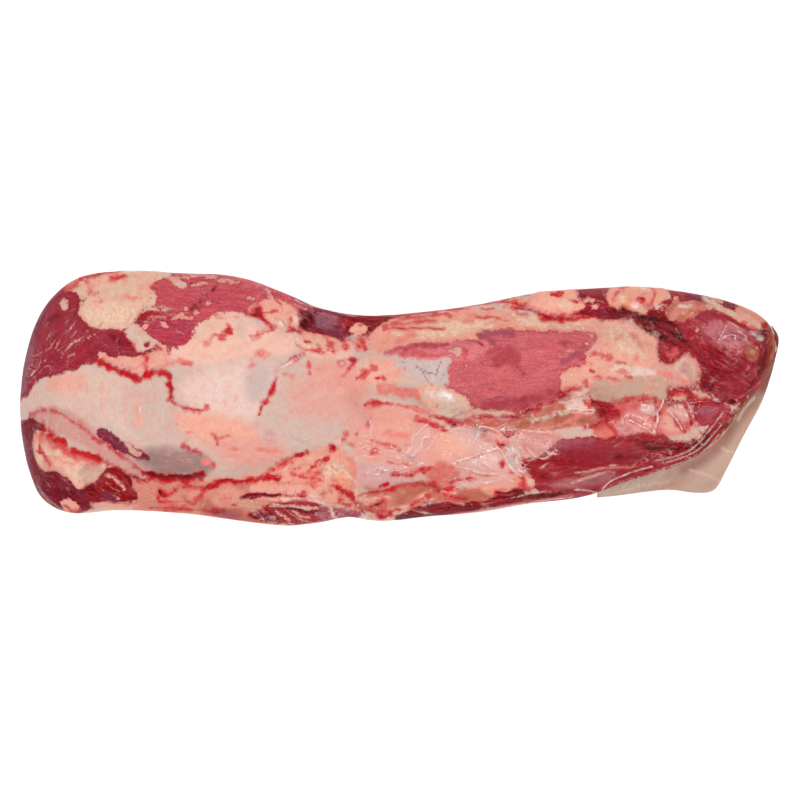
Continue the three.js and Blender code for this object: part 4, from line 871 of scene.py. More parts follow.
# Short strokes where the meat or the film over it is busy. Each place has two corners and its strokes:
# finish, strength, width, how many, slope in degrees, length and spread of the slope
partStrokes = [
    (((36, 306), (132, 366)), [("pinkLight", 0.4, 1, 22, 44, 6, 12)]),
    (((30, 300), (130, 368)), [("deepRed", 0.5, 1.3, 20, 44, 9, 12)]),
    (((170, 280), (290, 336)), [("pinkLight", 0.5, 0.9, 22, -4, 9, 10)]),
    (((160, 280), (280, 340)), [("deepRed", 0.5, 1.2, 20, -4, 10, 12)]),
    (((140, 306), (166, 322)), [("tendon", 0.7, 0.9, 10, 4, 11, 14)]),
    (((30, 372), (240, 446)), [("salmon", 0.3, 1.6, 44, 86, 16, 10)]),
    (((40, 376), (240, 446)), [("silverPale", 0.4, 1.5, 36, 84, 16, 10)]),
    (((250, 360), (370, 450)), [("salmon", 0.35, 1.6, 30, 60, 10, 30)]),
    (((40, 434), (96, 470)), [("redPink", 0.5, 1.2, 24, -28, 7, 26)]),
    (((140, 480), (250, 514)), [("redPink", 0.6, 1.2, 26, -6, 9, 16)]),
    (((282, 456), (352, 500)), [("blood", 0.6, 1.1, 34, 30, 6, 50), ("cream", 0.5, 1.6, 26, 30, 6, 50)]),
    (((300, 332), (370, 370)), [("redPink", 0.6, 1.2, 22, 0, 6, 50)]),
    (((384, 310), (590, 330)), [("redPink", 0.5, 1.1, 24, 6, 9, 12)]),
    (((456, 336), (584, 402)), [("deepRose", 0.4, 1, 40, 3, 12, 10),
        ("pinkLight", 0.35, 0.9, 34, 3, 9, 10)]),
    (((566, 326), (652, 380)), [("redPink", 0.45, 1.4, 24, 10, 7, 40),
        ("palePeach", 0.4, 1.6, 24, 10, 7, 40)]),
    (((372, 412), (550, 476)), [("rosyFat", 0.55, 1.8, 34, 30, 10, 40),
        ("palePearl", 0.45, 1.4, 34, 24, 11, 40)]),
    (((360, 486), (510, 504)), [("redPink", 0.6, 1.2, 26, 10, 10, 12)]),
    (((410, 500), (590, 514)), [("clotRed", 0.6, 1.2, 20, 8, 12, 5)]),
    (((540, 444), (690, 482)), [("deepRed", 0.55, 1.2, 36, 9, 14, 6), ("tailRose", 0.6, 1.2, 34, 9, 12, 6)]),
    # The rosy strokes here are painted sheen of the film, beside strokes of blood
    (((610, 406), (694, 432)), [("rosyFilm", 0.6, 1, 26, 40, 7, 40), ("blood", 0.5, 1.1, 20, 50, 7, 40)]),
    (((694, 326), (756, 396)), [("deepRed", 0.6, 1.1, 46, -28, 9, 10),
        ("redPink", 0.45, 1, 30, -28, 7, 10)]),
    (((754, 334), (768, 388)), [("brownRed", 0.7, 1.3, 14, 70, 7, 24)]),
    (((532, 290), (750, 310)), [("redPink", 0.5, 1.2, 18, -10, 7, 24)]),
]

partMarks = headMarks + leftMarks + sheetMarks + stripMarks + waistMarks
partMarks += loinMarks + underMarks + upperMarks + tailMarks

# A painted shadow: a red line beside each of the higher ridges of the film
ridgeShadow = {"finish": "redPink", "width": 1.6, "aside": (0.8, 2.0), "from": 0.9, "strength": 0.6}
for _, height, line in filmRidges:
    if height >= ridgeShadow["from"]:
        beside = np.array(line) + ridgeShadow["aside"]
        partMarks.append(smear(ridgeShadow["finish"], ridgeShadow["width"], beside))
        partMarks[-1]["strength"] = ridgeShadow["strength"]
for area, kinds in partStrokes:
    for stroke in kinds:
        partMarks += strokes(area, *stroke)
print("marks in all", len(partMarks))

# Which way the fibres run, in degrees up from the length, and how far they show, inside each outline.
# Later ones win.
fibreRuns = [
    (85, 0.6, [(10, 360), (170, 360), (175, 450), (10, 430)]),
    (30, 0.6, [(175, 340), (350, 330), (350, 450), (175, 450)]),
    (44, 0.4, [(0, 250), (100, 250), (140, 350), (60, 385), (0, 400)]),
    (-4, 0.48, [(140, 250), (320, 250), (320, 320), (190, 345), (140, 340)]),
    (-35, 0.9, [(0, 420), (95, 455), (150, 480), (140, 520), (0, 520)]),
    (-48, 0.8, [(95, 425), (155, 460), (100, 445)]),
    (-8, 0.9, [(150, 450), (360, 450), (360, 530), (150, 530)]),
    (3, 0.35, [(380, 325), (600, 325), (600, 415), (380, 415)]),
    (8, 0.8, [(360, 280), (620, 280), (600, 330), (360, 330)]),
    (8, 0.9, [(400, 480), (620, 455), (620, 510), (400, 530)]),
    (10, 0.6, [(500, 430), (720, 430), (720, 500), (500, 500)]),
    (-28, 0.8, [(656, 300), (780, 300), (780, 400), (690, 400), (656, 360)]),
    (20, 0.8, [(686, 398), (735, 398), (725, 432), (690, 432)]),
    (-70, 0.8, [(340, 410), (440, 420), (430, 450), (340, 440)]),
]

# In mm: the mesh's cells, lumps as cell and height, how far painted edges wander as cell and distance,
# the most that marks sink and raise the meat, and the gap to the floor. "thinned" holds the height of
# the normals from, to, and the share of triangles kept there. "bevel", "thinnest", "edge" and "blend" are
# pixels: where a raised mark's slope starts and ends, the thinnest painted line, how far an edge's
# distance counts and how far a layer's colours reach out.
meatSettings = {
    "voxel": 1.16, "thinned": [(-2.0, -0.6, 0.09), (-0.6, 0.3, 0.42)], "levels": 2, "smooth": 4,
    "lumps": [(14.0, 0.55), (5.0, 0.22), (2.4, 0.07)], "fatLumps": [(4.2, 0.3), (2.0, 0.1)],
    "underLump": (32.0, 16.0, -3.0), "warps": [(8.0, 2.0), (3.0, 1.1)], "lowest": -2.2, "highest": 2.4,
    "bevel": (-1.6, 2.2), "floorGap": 0.4, "thinnest": 1.7, "edge": 8.0, "blend": 5.0, "exposure": 1.28,
    "shine": 0.014, "darkest": 0.0008, "stainStrength": 0.9, "stringy": 0.8, "upper": (-0.1, 0.5),
    "under": (-0.75, -0.25), "hiddenLumps": 0.3,
}


def signedDistance(mark, points):
    line, closed = mark["line"].astype(np.float32), mark["closed"]
    start = line if closed else line[:-1]
    ahead = np.roll(line, -1, 0) if closed else line[1:]
    span = ahead - start
    toPoint = points[:, None, :] - start[None]
    along = np.clip((toPoint * span).sum(2) / np.maximum((span * span).sum(1), 1e-9), 0, 1)
    nearest = np.sqrt(((toPoint - along[..., None] * span) ** 2).sum(2).min(1))
    if not closed:
        return mark["width"] / 2 - nearest
    slope = span[:, 0] / np.where(span[:, 1] == 0, 1e-9, span[:, 1])
    rows = points[:, 1:2]
    crosses = (start[:, 1] > rows) != (ahead[:, 1] > rows)
    inside = (crosses & (points[:, :1] < start[:, 0] + (rows - start[:, 1]) * slope)).sum(1) % 2 == 1
    return np.where(inside, nearest, -nearest)


def nearMark(mark, points, reach):
    low, high = mark["line"].min(0) - reach, mark["line"].max(0) + reach
    near = np.flatnonzero(((points > low) & (points < high)).all(1))
    return near, signedDistance(mark, points[near])


def noiseAt(places, cellMm, seed):
    scaled = places / (cellMm * millimetre) + seed
    return np.array([noise.noise(Vector(place)) for place in scaled], np.float32)


def onlyActive(piece):
    bpy.ops.object.select_all(action="DESELECT")
    bpy.context.view_layer.objects.active = piece
    piece.select_set(True)


def vertexValues(piece, field):
    values = np.empty(len(piece.data.vertices) * 3, np.float32)
    piece.data.vertices.foreach_get(field, values)
    return values.reshape(-1, 3).astype(float)


def setPlaces(piece, places):
    piece.data.vertices.foreach_set("co", places.astype(np.float32).ravel())
    piece.data.update()


def applied(piece, kind, **settings):
    onlyActive(piece)
    modifier = piece.modifiers.new(kind.lower(), kind)
    for name, setting in settings.items():
        setattr(modifier, name, setting)
    bpy.ops.object.modifier_apply(modifier=modifier.name)


def copyOfNode(node, name, levels):
    piece = bpy.data.objects.new(name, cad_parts[node].data.copy())
    scene.collection.objects.link(piece)
    piece.data.materials.clear()
    onlyActive(piece)
    bpy.ops.object.mode_set(mode="EDIT")
    bpy.ops.mesh.select_all(action="SELECT")
    bpy.ops.mesh.remove_doubles(threshold=0.00002)
    bpy.ops.mesh.tris_convert_to_quads()
    bpy.ops.object.mode_set(mode="OBJECT")
    applied(piece, "SUBSURF", levels=levels, render_levels=levels)
    return piece


def warpedPixels(places):
    warped = pixelsOf(places)
    for index, (cell, amount) in enumerate(meatSettings["warps"]):
        warped[:, 0] += amount * noiseAt(places, cell, 11.3 + index * 7)
        warped[:, 1] += amount * noiseAt(places, cell, 47.9 + index * 5)
    return warped.astype(np.float32)


def liftAt(points):
    lift, fatness = np.zeros(len(points)), np.zeros(len(points))
    for mark in partMarks:
        if mark["kind"] == "fat" or mark["lift"]:
            near, distance = nearMark(mark, points, 4)
            low, high = meatSettings["bevel"]
            share = smoothStep(low, high if mark["closed"] else mark["width"] / 2, distance)
            lift[near] += mark["lift"] * share
            if mark["kind"] == "fat":
                fatness[near] = np.maximum(fatness[near], share)
    return np.clip(lift, meatSettings["lowest"], meatSettings["highest"]), fatness


def sculptMeat(piece):
    places, normals = vertexValues(piece, "co"), vertexValues(piece, "normal")
    shown = smoothStep(*meatSettings["upper"], normals[:, 2])
    lift, fatness = liftAt(warpedPixels(places))
    lift *= shown
    for index, (cell, height) in enumerate(meatSettings["lumps"]):
        hidden = meatSettings["hiddenLumps"]
        lift += height * noiseAt(places, cell, 3.1 + index * 17) * (hidden + (1 - hidden) * shown)
    for index, (cell, height) in enumerate(meatSettings["fatLumps"]):
        lift += height * noiseAt(places, cell, 71.7 + index * 13) * fatness * shown
    moved = places + normals * lift[:, None] * millimetre
    moved[:, 2] = np.maximum(moved[:, 2], cadLow.z + meatSettings["floorGap"] * millimetre)
    setPlaces(piece, moved)
    return places, normals, lift


# Faces that lean from low to high, by the normal's height, keep this share of their triangles
def thinOut(piece, low, high, share):
    onlyActive(piece)
    normals = np.empty(len(piece.data.polygons) * 3, np.float32)
    piece.data.polygons.foreach_get("normal", normals)
    slopes = normals.reshape(-1, 3)[:, 2]
    bpy.ops.object.mode_set(mode="EDIT")
    bpy.ops.mesh.select_mode(type="FACE")
    bpy.ops.mesh.select_all(action="DESELECT")
    bpy.ops.object.mode_set(mode="OBJECT")
    piece.data.polygons.foreach_set("select", (slopes > low) & (slopes < high))
    bpy.ops.object.mode_set(mode="EDIT")
    bpy.ops.mesh.decimate(ratio=share)
    bpy.ops.object.mode_set(mode="OBJECT")


def trianglesOf(piece):
    return sum(len(face.vertices) - 2 for face in piece.data.polygons)


def tinge(tint, near, finish, share):
    tint[near] = tint[near] * (1 - share[:, None]) + linearColour(finish) * share[:, None]


def paintLayer(points, kind, base):
    reach, limit = meatSettings["blend"], meatSettings["edge"]
    tint = np.tile(linearColour(base), (len(points), 1))
    edge, beside = np.full(len(points), -limit), np.full(len(points), -limit)
    for mark in partMarks:
        if mark["kind"] == kind:
            near, distance = nearMark(mark, points, reach + mark["soft"])
            if not mark["closed"]:
                distance += max(meatSettings["thinnest"] - mark["width"], 0) / 2
            tinge(tint, near, mark["finish"], smoothStep(-mark["soft"] - reach, -reach * 0.4, distance))
            edge[near] = np.maximum(edge[near], distance / mark["soft"])
            beside[near] = np.maximum(beside[near], distance)
    return tint, np.clip(edge, -limit, limit), np.clip(beside, -limit, 2)


def paintSoft(points, kind, base=None):
    tint = np.tile(linearColour(base or "silver"), (len(points), 1))
    amount = np.ones(len(points)) if base else np.zeros(len(points))
    for mark in partMarks:
        if mark["kind"] == kind:
            near, distance = nearMark(mark, points, mark["soft"] + 1)
            share = smoothStep(-mark["soft"], mark["soft"] * 0.8, distance)
            share *= 1 if base else meatSettings["stainStrength"] * mark.get("strength", 1)
            whole = 1 - (1 - amount[near]) * (1 - share)
            tinge(tint, near, mark["finish"], np.where(whole > 0, share / np.maximum(whole, 1e-6), 0))
            amount[near] = whole
    return tint, amount


def setColour(piece, name, tint):
    attribute = piece.data.color_attributes.new(name, "FLOAT_COLOR", "POINT")
    bare = np.maximum(tint / meatSettings["exposure"] - meatSettings["shine"], meatSettings["darkest"])
    scaled = np.hstack([bare, np.ones((len(tint), 1))])
    attribute.data.foreach_set("color", scaled.astype(np.float32).ravel())


def setValues(piece, name, values):
    kind, field = ("FLOAT", "value") if values.ndim == 1 else ("FLOAT_VECTOR", "vector")
    attribute = piece.data.attributes.new(name, kind, "POINT")
    attribute.data.foreach_set(field, values.astype(np.float32).ravel())


def grainOf(places):
    points = pixelsOf(places).astype(np.float32)
    turn, shown = np.zeros(len(points)), np.full(len(points), meatSettings["stringy"])
    for degrees, strength, outline in fibreRuns:
        near, distance = nearMark(patch("fibre", "silver", outline), points, 1)
        turn[near[distance > 0]] = math.radians(degrees)
        shown[near[distance > 0]] = strength
    along = places[:, 0] * np.cos(turn) + places[:, 1] * np.sin(turn)
    across = places[:, 1] * np.cos(turn) - places[:, 0] * np.sin(turn)
    return np.stack([along, across, places[:, 2]], 1), shown


def paintMeat(piece):
    places, normals = vertexValues(piece, "co"), vertexValues(piece, "normal")
    points = warpedPixels(places)
    hidden = 1 - smoothStep(*meatSettings["under"], normals[:, 2])
    silver, _ = paintSoft(points, "wash", "silver")
    setColour(piece, "silverTint", silver)
    cell, swing, middle = meatSettings["underLump"]
    for kind, base in (("lean", "tailRose"), ("fat", "cream"), ("blood", "blood")):
        tint, edge, beside = paintLayer(points, kind, base)
        under = noiseAt(places, cell, len(kind) * 9.7) * swing + middle
        below = -meatSettings["edge"] if kind == "blood" else under
        setColour(piece, kind + "Tint", tint)
        setValues(piece, kind + "Edge", edge * (1 - hidden) + below * hidden)
    setValues(piece, "bloodBeside", beside * (1 - hidden) - meatSettings["edge"] * hidden)
    stained, amount = paintSoft(points, "stain")
    setColour(piece, "stainTint", stained)
    setValues(piece, "stainAmount", amount * (1 - hidden))
    grain, shown = grainOf(places)
    setValues(piece, "grain", grain)
    setValues(piece, "stringy", shown)


def makeMeat():
    meat = copyOfNode("tenderloin", "meat", meatSettings["levels"])
    applied(meat, "REMESH", mode="VOXEL", voxel_size=meatSettings["voxel"] * millimetre, adaptivity=0.0)
    applied(meat, "SMOOTH", factor=0.5, iterations=meatSettings["smooth"])
    for low, high, share in meatSettings["thinned"]:
        thinOut(meat, low, high, share)
    bpy.ops.object.shade_smooth()
    places, normals, lift = sculptMeat(meat)
    bare = meat.data.copy()
    paintMeat(meat)
    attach(meat, "root")
    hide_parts("tenderloin")
    print("meat", trianglesOf(meat), "triangles")
    return meat, (bare, places, normals, lift)


# In mm: the film's gap to the meat, wrinkles as cell and height, the height of the free end's folds and
# waves, how far it is tucked under and its gap to the floor. "tension" and "eased" are how many times
# the film is drawn flat over hollows and smoothed. Pairs are where something starts and is whole: by how
# far a face turns up, a ridge's height, the distance inside an outline in pixels, or the gap to the meat.
# The free end's folds fan out and fade from "flapCorner", in pixels.
filmSettings = {
    "gap": 0.3, "tension": 14, "eased": 3, "wrinkle": [(9.0, 0.1), (4.0, 0.05)], "floorGap": 0.05,
    "milk": 0.001, "ridgeGlintPaint": 0.6, "crumpled": 0.1, "upper": (-0.1, 0.4), "glintUpper": (0.15, 0.6),
    "glintRidge": (0.25, 0.95), "sheenEdge": (-3, 4), "crumpledEdge": (-8, 4), "flapLevels": 2,
    "flapUnder": 4.0, "flapLoose": (0.3, 3.0), "flapTop": 4.0, "flapFloorGap": 0.1,
    "flapCorner": (640.0, 470.0), "flapFolds": 19, "flapFold": 0.1225, "flapSway": (0.05, 1.4),
    "flapFade": 70, "flapCell": 16.0, "flapWave": 0.25, "flapMilk": (0.86, 0.0875, 0.1),
    "flapCrumpled": (0.5, 45),
}

# Juice on the free end, and streaks along its folds, the pale ones painted highlights: finish, strength,
# width and points
flapJuiceAndHighlights = [
    ("juice", 1.0, 9, [(766, 318), (776, 330), (778, 350), (773, 370), (764, 386)]),
    ("juice", 0.6, 7, [(764, 386), (750, 404), (738, 420), (722, 444), (700, 462), (684, 470)]),
    ("greyCream", 0.6, 7, [(604, 496), (630, 486), (656, 478)]),
    ("silverPale", 0.8, 1.6, [(616, 492), (650, 484), (668, 482)]),
    ("silverPale", 0.8, 1.6, [(648, 488), (656, 478), (664, 472)]),
    ("silverPale", 0.7, 1.4, [(690, 470), (712, 476), (722, 484)]),
    ("silverPale", 0.7, 1.4, [(722, 448), (728, 452), (742, 452)]),
    ("silverPale", 0.8, 1.8, [(738, 420), (744, 408), (754, 398)]),
    ("stripFat", 0.6, 1.4, [(660, 490), (676, 482), (700, 476)]),
    ("stripFat", 0.5, 1.4, [(752, 410), (744, 436), (728, 470)]),
]

# Where the film is crumpled, 0 to 1, with the outline of the place in pixels. The highest wins.
crumples = [
    (1.0, [(436, 424), (520, 424), (560, 430), (556, 456), (520, 482), (470, 488), (440, 484), (430, 456)]),
    (0.8, [(350, 436), (420, 420), (440, 440), (430, 470), (372, 476), (350, 470)]),
    (0.7, [(616, 398), (700, 398), (726, 420), (700, 440), (610, 440)]),
    (0.8, [(600, 470), (690, 448), (736, 404), (756, 388), (740, 430), (700, 474), (620, 496)]),
    (0.3, [(690, 318), (770, 318), (776, 360), (750, 400), (700, 392), (684, 340)]),
    (0.6, [(236, 494), (340, 494), (370, 512), (360, 528), (240, 528)]),
    (0.2, [(400, 500), (600, 480), (600, 500), (400, 528)]),
    (0.2, [(512, 284), (600, 290), (760, 300), (700, 320), (520, 316)]),
    (0.35, [(12, 300), (40, 290), (60, 380), (40, 420), (70, 520), (12, 500)]),
    (0.3, [(150, 262), (320, 262), (320, 310), (150, 290)]),
]

# Painted sheen: where loose film lies over the meat, white milk of this strength stands in for its soft
# sheen
sheenHazes = [
    (0.3, [(452, 429), (470, 426), (494, 430), (500, 446), (480, 452), (458, 448), (450, 438)]),
    (0.24, [(456, 462), (478, 455), (496, 450), (502, 466), (496, 472), (474, 470)]),
    (0.26, [(508, 446), (516, 446), (521, 458), (518, 470), (510, 462)]),
    (0.16, [(522, 434), (550, 434), (562, 437), (552, 448), (546, 456), (534, 455), (524, 446)]),
    (0.2, [(406, 450), (412, 436), (426, 426), (432, 432), (426, 446), (412, 458)]),
    (0.18, [(372, 460), (392, 462), (406, 466), (396, 472), (378, 470)]),
    (0.16, [(646, 402), (656, 402), (656, 414), (648, 416)]),
    (0.14, [(666, 406), (682, 402), (690, 416), (684, 424)]),
    (0.12, [(612, 428), (628, 416), (646, 428), (640, 436), (618, 436)]),
    (0.1, [(540, 486), (580, 476), (620, 468), (610, 482), (580, 490)]),
]


def neighbourMean(values, edges, degree):
    total = np.bincount(edges[:, 0], values[edges[:, 1]], len(values))
    total += np.bincount(edges[:, 1], values[edges[:, 0]], len(values))
    return total / degree


def levelsOver(outlines, points, least, low, high):
    levels = np.full(len(points), least)
    for level, outline in outlines:
        near, distance = nearMark(patch("place", "white", outline), points, max(-low, high))
        levels[near] = np.maximum(levels[near], level * smoothStep(low, high, distance))
    return levels


def makeFilm(bare, places, normals, lift):
    film = bpy.data.objects.new("filmSkin", bare)
    scene.collection.objects.link(film)
    edges = np.empty(len(film.data.edges) * 2, np.int32)
    film.data.edges.foreach_get("vertices", edges)
    edges = edges.reshape(-1, 2)
    degree = np.maximum(np.bincount(edges.ravel(), minlength=len(places)), 1)
    height = lift.copy()
    for _ in range(filmSettings["tension"]):
        height = np.maximum(neighbourMean(height, edges, degree), lift)
    for _ in range(filmSettings["eased"]):
        height = neighbourMean(height, edges, degree)
    height = np.maximum(height, lift) + filmSettings["gap"]
    points = pixelsOf(places).astype(np.float32)
    shown = smoothStep(*filmSettings["upper"], normals[:, 2])
    ridges = np.zeros(len(places))
    for width, rise, line in filmRidges:
        near, distance = nearMark(streak("ridge", "white", width, line), points, width)
        ridges[near] = np.maximum(ridges[near], smoothStep(0, width / 2, distance) * rise)
    for index, (cell, rise) in enumerate(filmSettings["wrinkle"]):
        height += rise * np.abs(noiseAt(places, cell, 23.0 + index * 9)) * shown
    moved = places + normals * ((height + ridges * shown) * millimetre)[:, None]
    moved[:, 2] = np.maximum(moved[:, 2], cadLow.z + filmSettings["floorGap"] * millimetre)
    setPlaces(film, moved)
    # Painted highlights: white milk on the ridge crests stands in for their glints
    faint = np.clip(0.88 + 0.7 * noiseAt(places, 6.0, 61.0), 0.35, 1.0)
    glint = faint * smoothStep(*filmSettings["glintRidge"], ridges * shown)
    glint *= smoothStep(*filmSettings["glintUpper"], normals[:, 2])
    # Loose film gets white milk as its painted sheen
    paintedSheen = levelsOver(sheenHazes, points, 0.0, *filmSettings["sheenEdge"])
    setValues(film, "milk", filmSettings["milk"] + np.maximum(filmSettings["ridgeGlintPaint"] * glint, paintedSheen))
    crumpled = levelsOver(crumples, points, filmSettings["crumpled"], *filmSettings["crumpledEdge"])
    setValues(film, "crumpled", crumpled * shown)
    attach(film, "root")
    print("film", trianglesOf(film), "triangles")
    return film


def makeFlap(meat):
    flap = copyOfNode("vacuum_bag", "filmFlap", filmSettings["flapLevels"])
    places = vertexValues(flap, "co")
    for index, place in enumerate(places):
        beside = Vector((place[0], place[1], filmSettings["flapTop"] * millimetre))
        _, nearest, _, _ = meat.closest_point_on_mesh(beside)
        toMeat = np.array(nearest)[:2] - place[:2]
        gap = np.linalg.norm(toMeat) / millimetre
        tucked = filmSettings["flapUnder"] * (1 - smoothStep(*filmSettings["flapLoose"], gap)) * millimetre
        places[index, :2] += toMeat / max(gap * millimetre, 1e-6) * tucked
    points = pixelsOf(places)
    fromCorner = points - np.array(filmSettings["flapCorner"])
    angle, away = np.arctan2(fromCorner[:, 1], fromCorner[:, 0]), np.linalg.norm(fromCorner, axis=1)
    often, far = filmSettings["flapSway"]
    sway = np.sin(away * often) * far
    fold = np.sin(angle * filmSettings["flapFolds"] + sway) * np.exp(-away / filmSettings["flapFade"])
    wave = noiseAt(places * np.array([1, 1, 0]), filmSettings["flapCell"], 5.0)
    moved = places.copy()
    moved[:, 2] += (fold * filmSettings["flapFold"] + wave * filmSettings["flapWave"]) * millimetre
    moved[:, 2] = np.maximum(moved[:, 2], cadLow.z + filmSettings["flapFloorGap"] * millimetre)
    setPlaces(flap, moved)
    milk, byFold, byWave = filmSettings["flapMilk"]
    setValues(flap, "milk", np.clip(milk + byFold * fold + byWave * wave, 0.6, 0.97))
    most, fade = filmSettings["flapCrumpled"]
    setValues(flap, "crumpled", most * np.exp(-away / fade))
    tint = np.tile(linearColour("filmTan"), (len(places), 1))
    for name, share, width, line in flapJuiceAndHighlights:
        near, distance = nearMark(smear(name, width, line), points.astype(np.float32), 12)
        tinge(tint, near, name, smoothStep(-width, width / 2, distance + width * 0.2 * wave[near]) * share)
    setColour(flap, "flapTint", tint)
    onlyActive(flap)
    bpy.ops.object.shade_smooth()
    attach(flap, "root")
    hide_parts("vacuum_bag")
    print("flap", trianglesOf(flap), "triangles")
    return flap


def scaledColour(name, factor=1.0):
    return [channel * factor / meatSettings["exposure"] for channel in linearColour(name)] + [1.0]


# A shader socket that can be added to and multiplied like a number
class Tone:
    def __init__(self, tree, socket=None):
        self.tree, self.socket = tree, socket

    def add(self, kind, settings=None, values=None, output=0):
        node = self.tree.nodes.new("ShaderNode" + kind)
        for name, setting in (settings or {}).items():
            setattr(node, name, setting)
        for place, value in (values or {}).items():
            if isinstance(value, Tone):
                self.tree.links.new(value.socket, node.inputs[place])
            else:
                node.inputs[place].default_value = value
        return Tone(self.tree, node.outputs[output] if len(node.outputs) else None)

    def maths(self, operation, first, second=0.0):
        return self.add("Math", {"operation": operation}, {0: first, 1: second})

    def __add__(self, other):
        return self.maths("ADD", self, other)

    __radd__ = __add__

    def __sub__(self, other):
        return self.maths("SUBTRACT", self, other)

    def __rsub__(self, other):
        return self.maths("SUBTRACT", other, self)

    def __mul__(self, other):
        return self.maths("MULTIPLY", self, other)

    def step(self, low, high):
        settings = {"interpolation_type": "SMOOTHSTEP"}
        return self.add("MapRange", settings, {"Value": self, "From Min": low, "From Max": high})

    def blend(self, first, second, kind="MIX"):
        settings = {"data_type": "RGBA", "blend_type": kind}
        return self.add("Mix", settings, {0: self, 6: first, 7: second}, 2)

    def towards(self, share, name, factor=1.0):
        return share.blend(self, scaledColour(name, factor))

    def grains(self, scale, detail=2, rough=0.5):
        values = {"Vector": self, "Scale": scale, "Detail": detail, "Roughness": rough}
        return self.add("TexNoise", None, values)

    def grey(self, level):
        return self.add("CombineColor", None, {0: level, 1: level, 2: level})

    def times(self, level):
        return self.add("VectorMath", {"operation": "MULTIPLY"}, {0: self, 1: self.grey(level)})

    def moved(self, level):
        return self.add("VectorMath", {"operation": "ADD"}, {0: self, 1: self.grey(level)})

    def stretched(self, x, y, z):
        return self.add("VectorMath", {"operation": "MULTIPLY"}, {0: self, 1: (x, y, z)})

    def named(self, name, output):
        return self.add("Attribute", {"attribute_name": name}, None, output)


def newFinish(name):
    material = bpy.data.materials.new(name)
    material.use_nodes = True
    material.node_tree.nodes.clear()
    return material, Tone(material.node_tree)


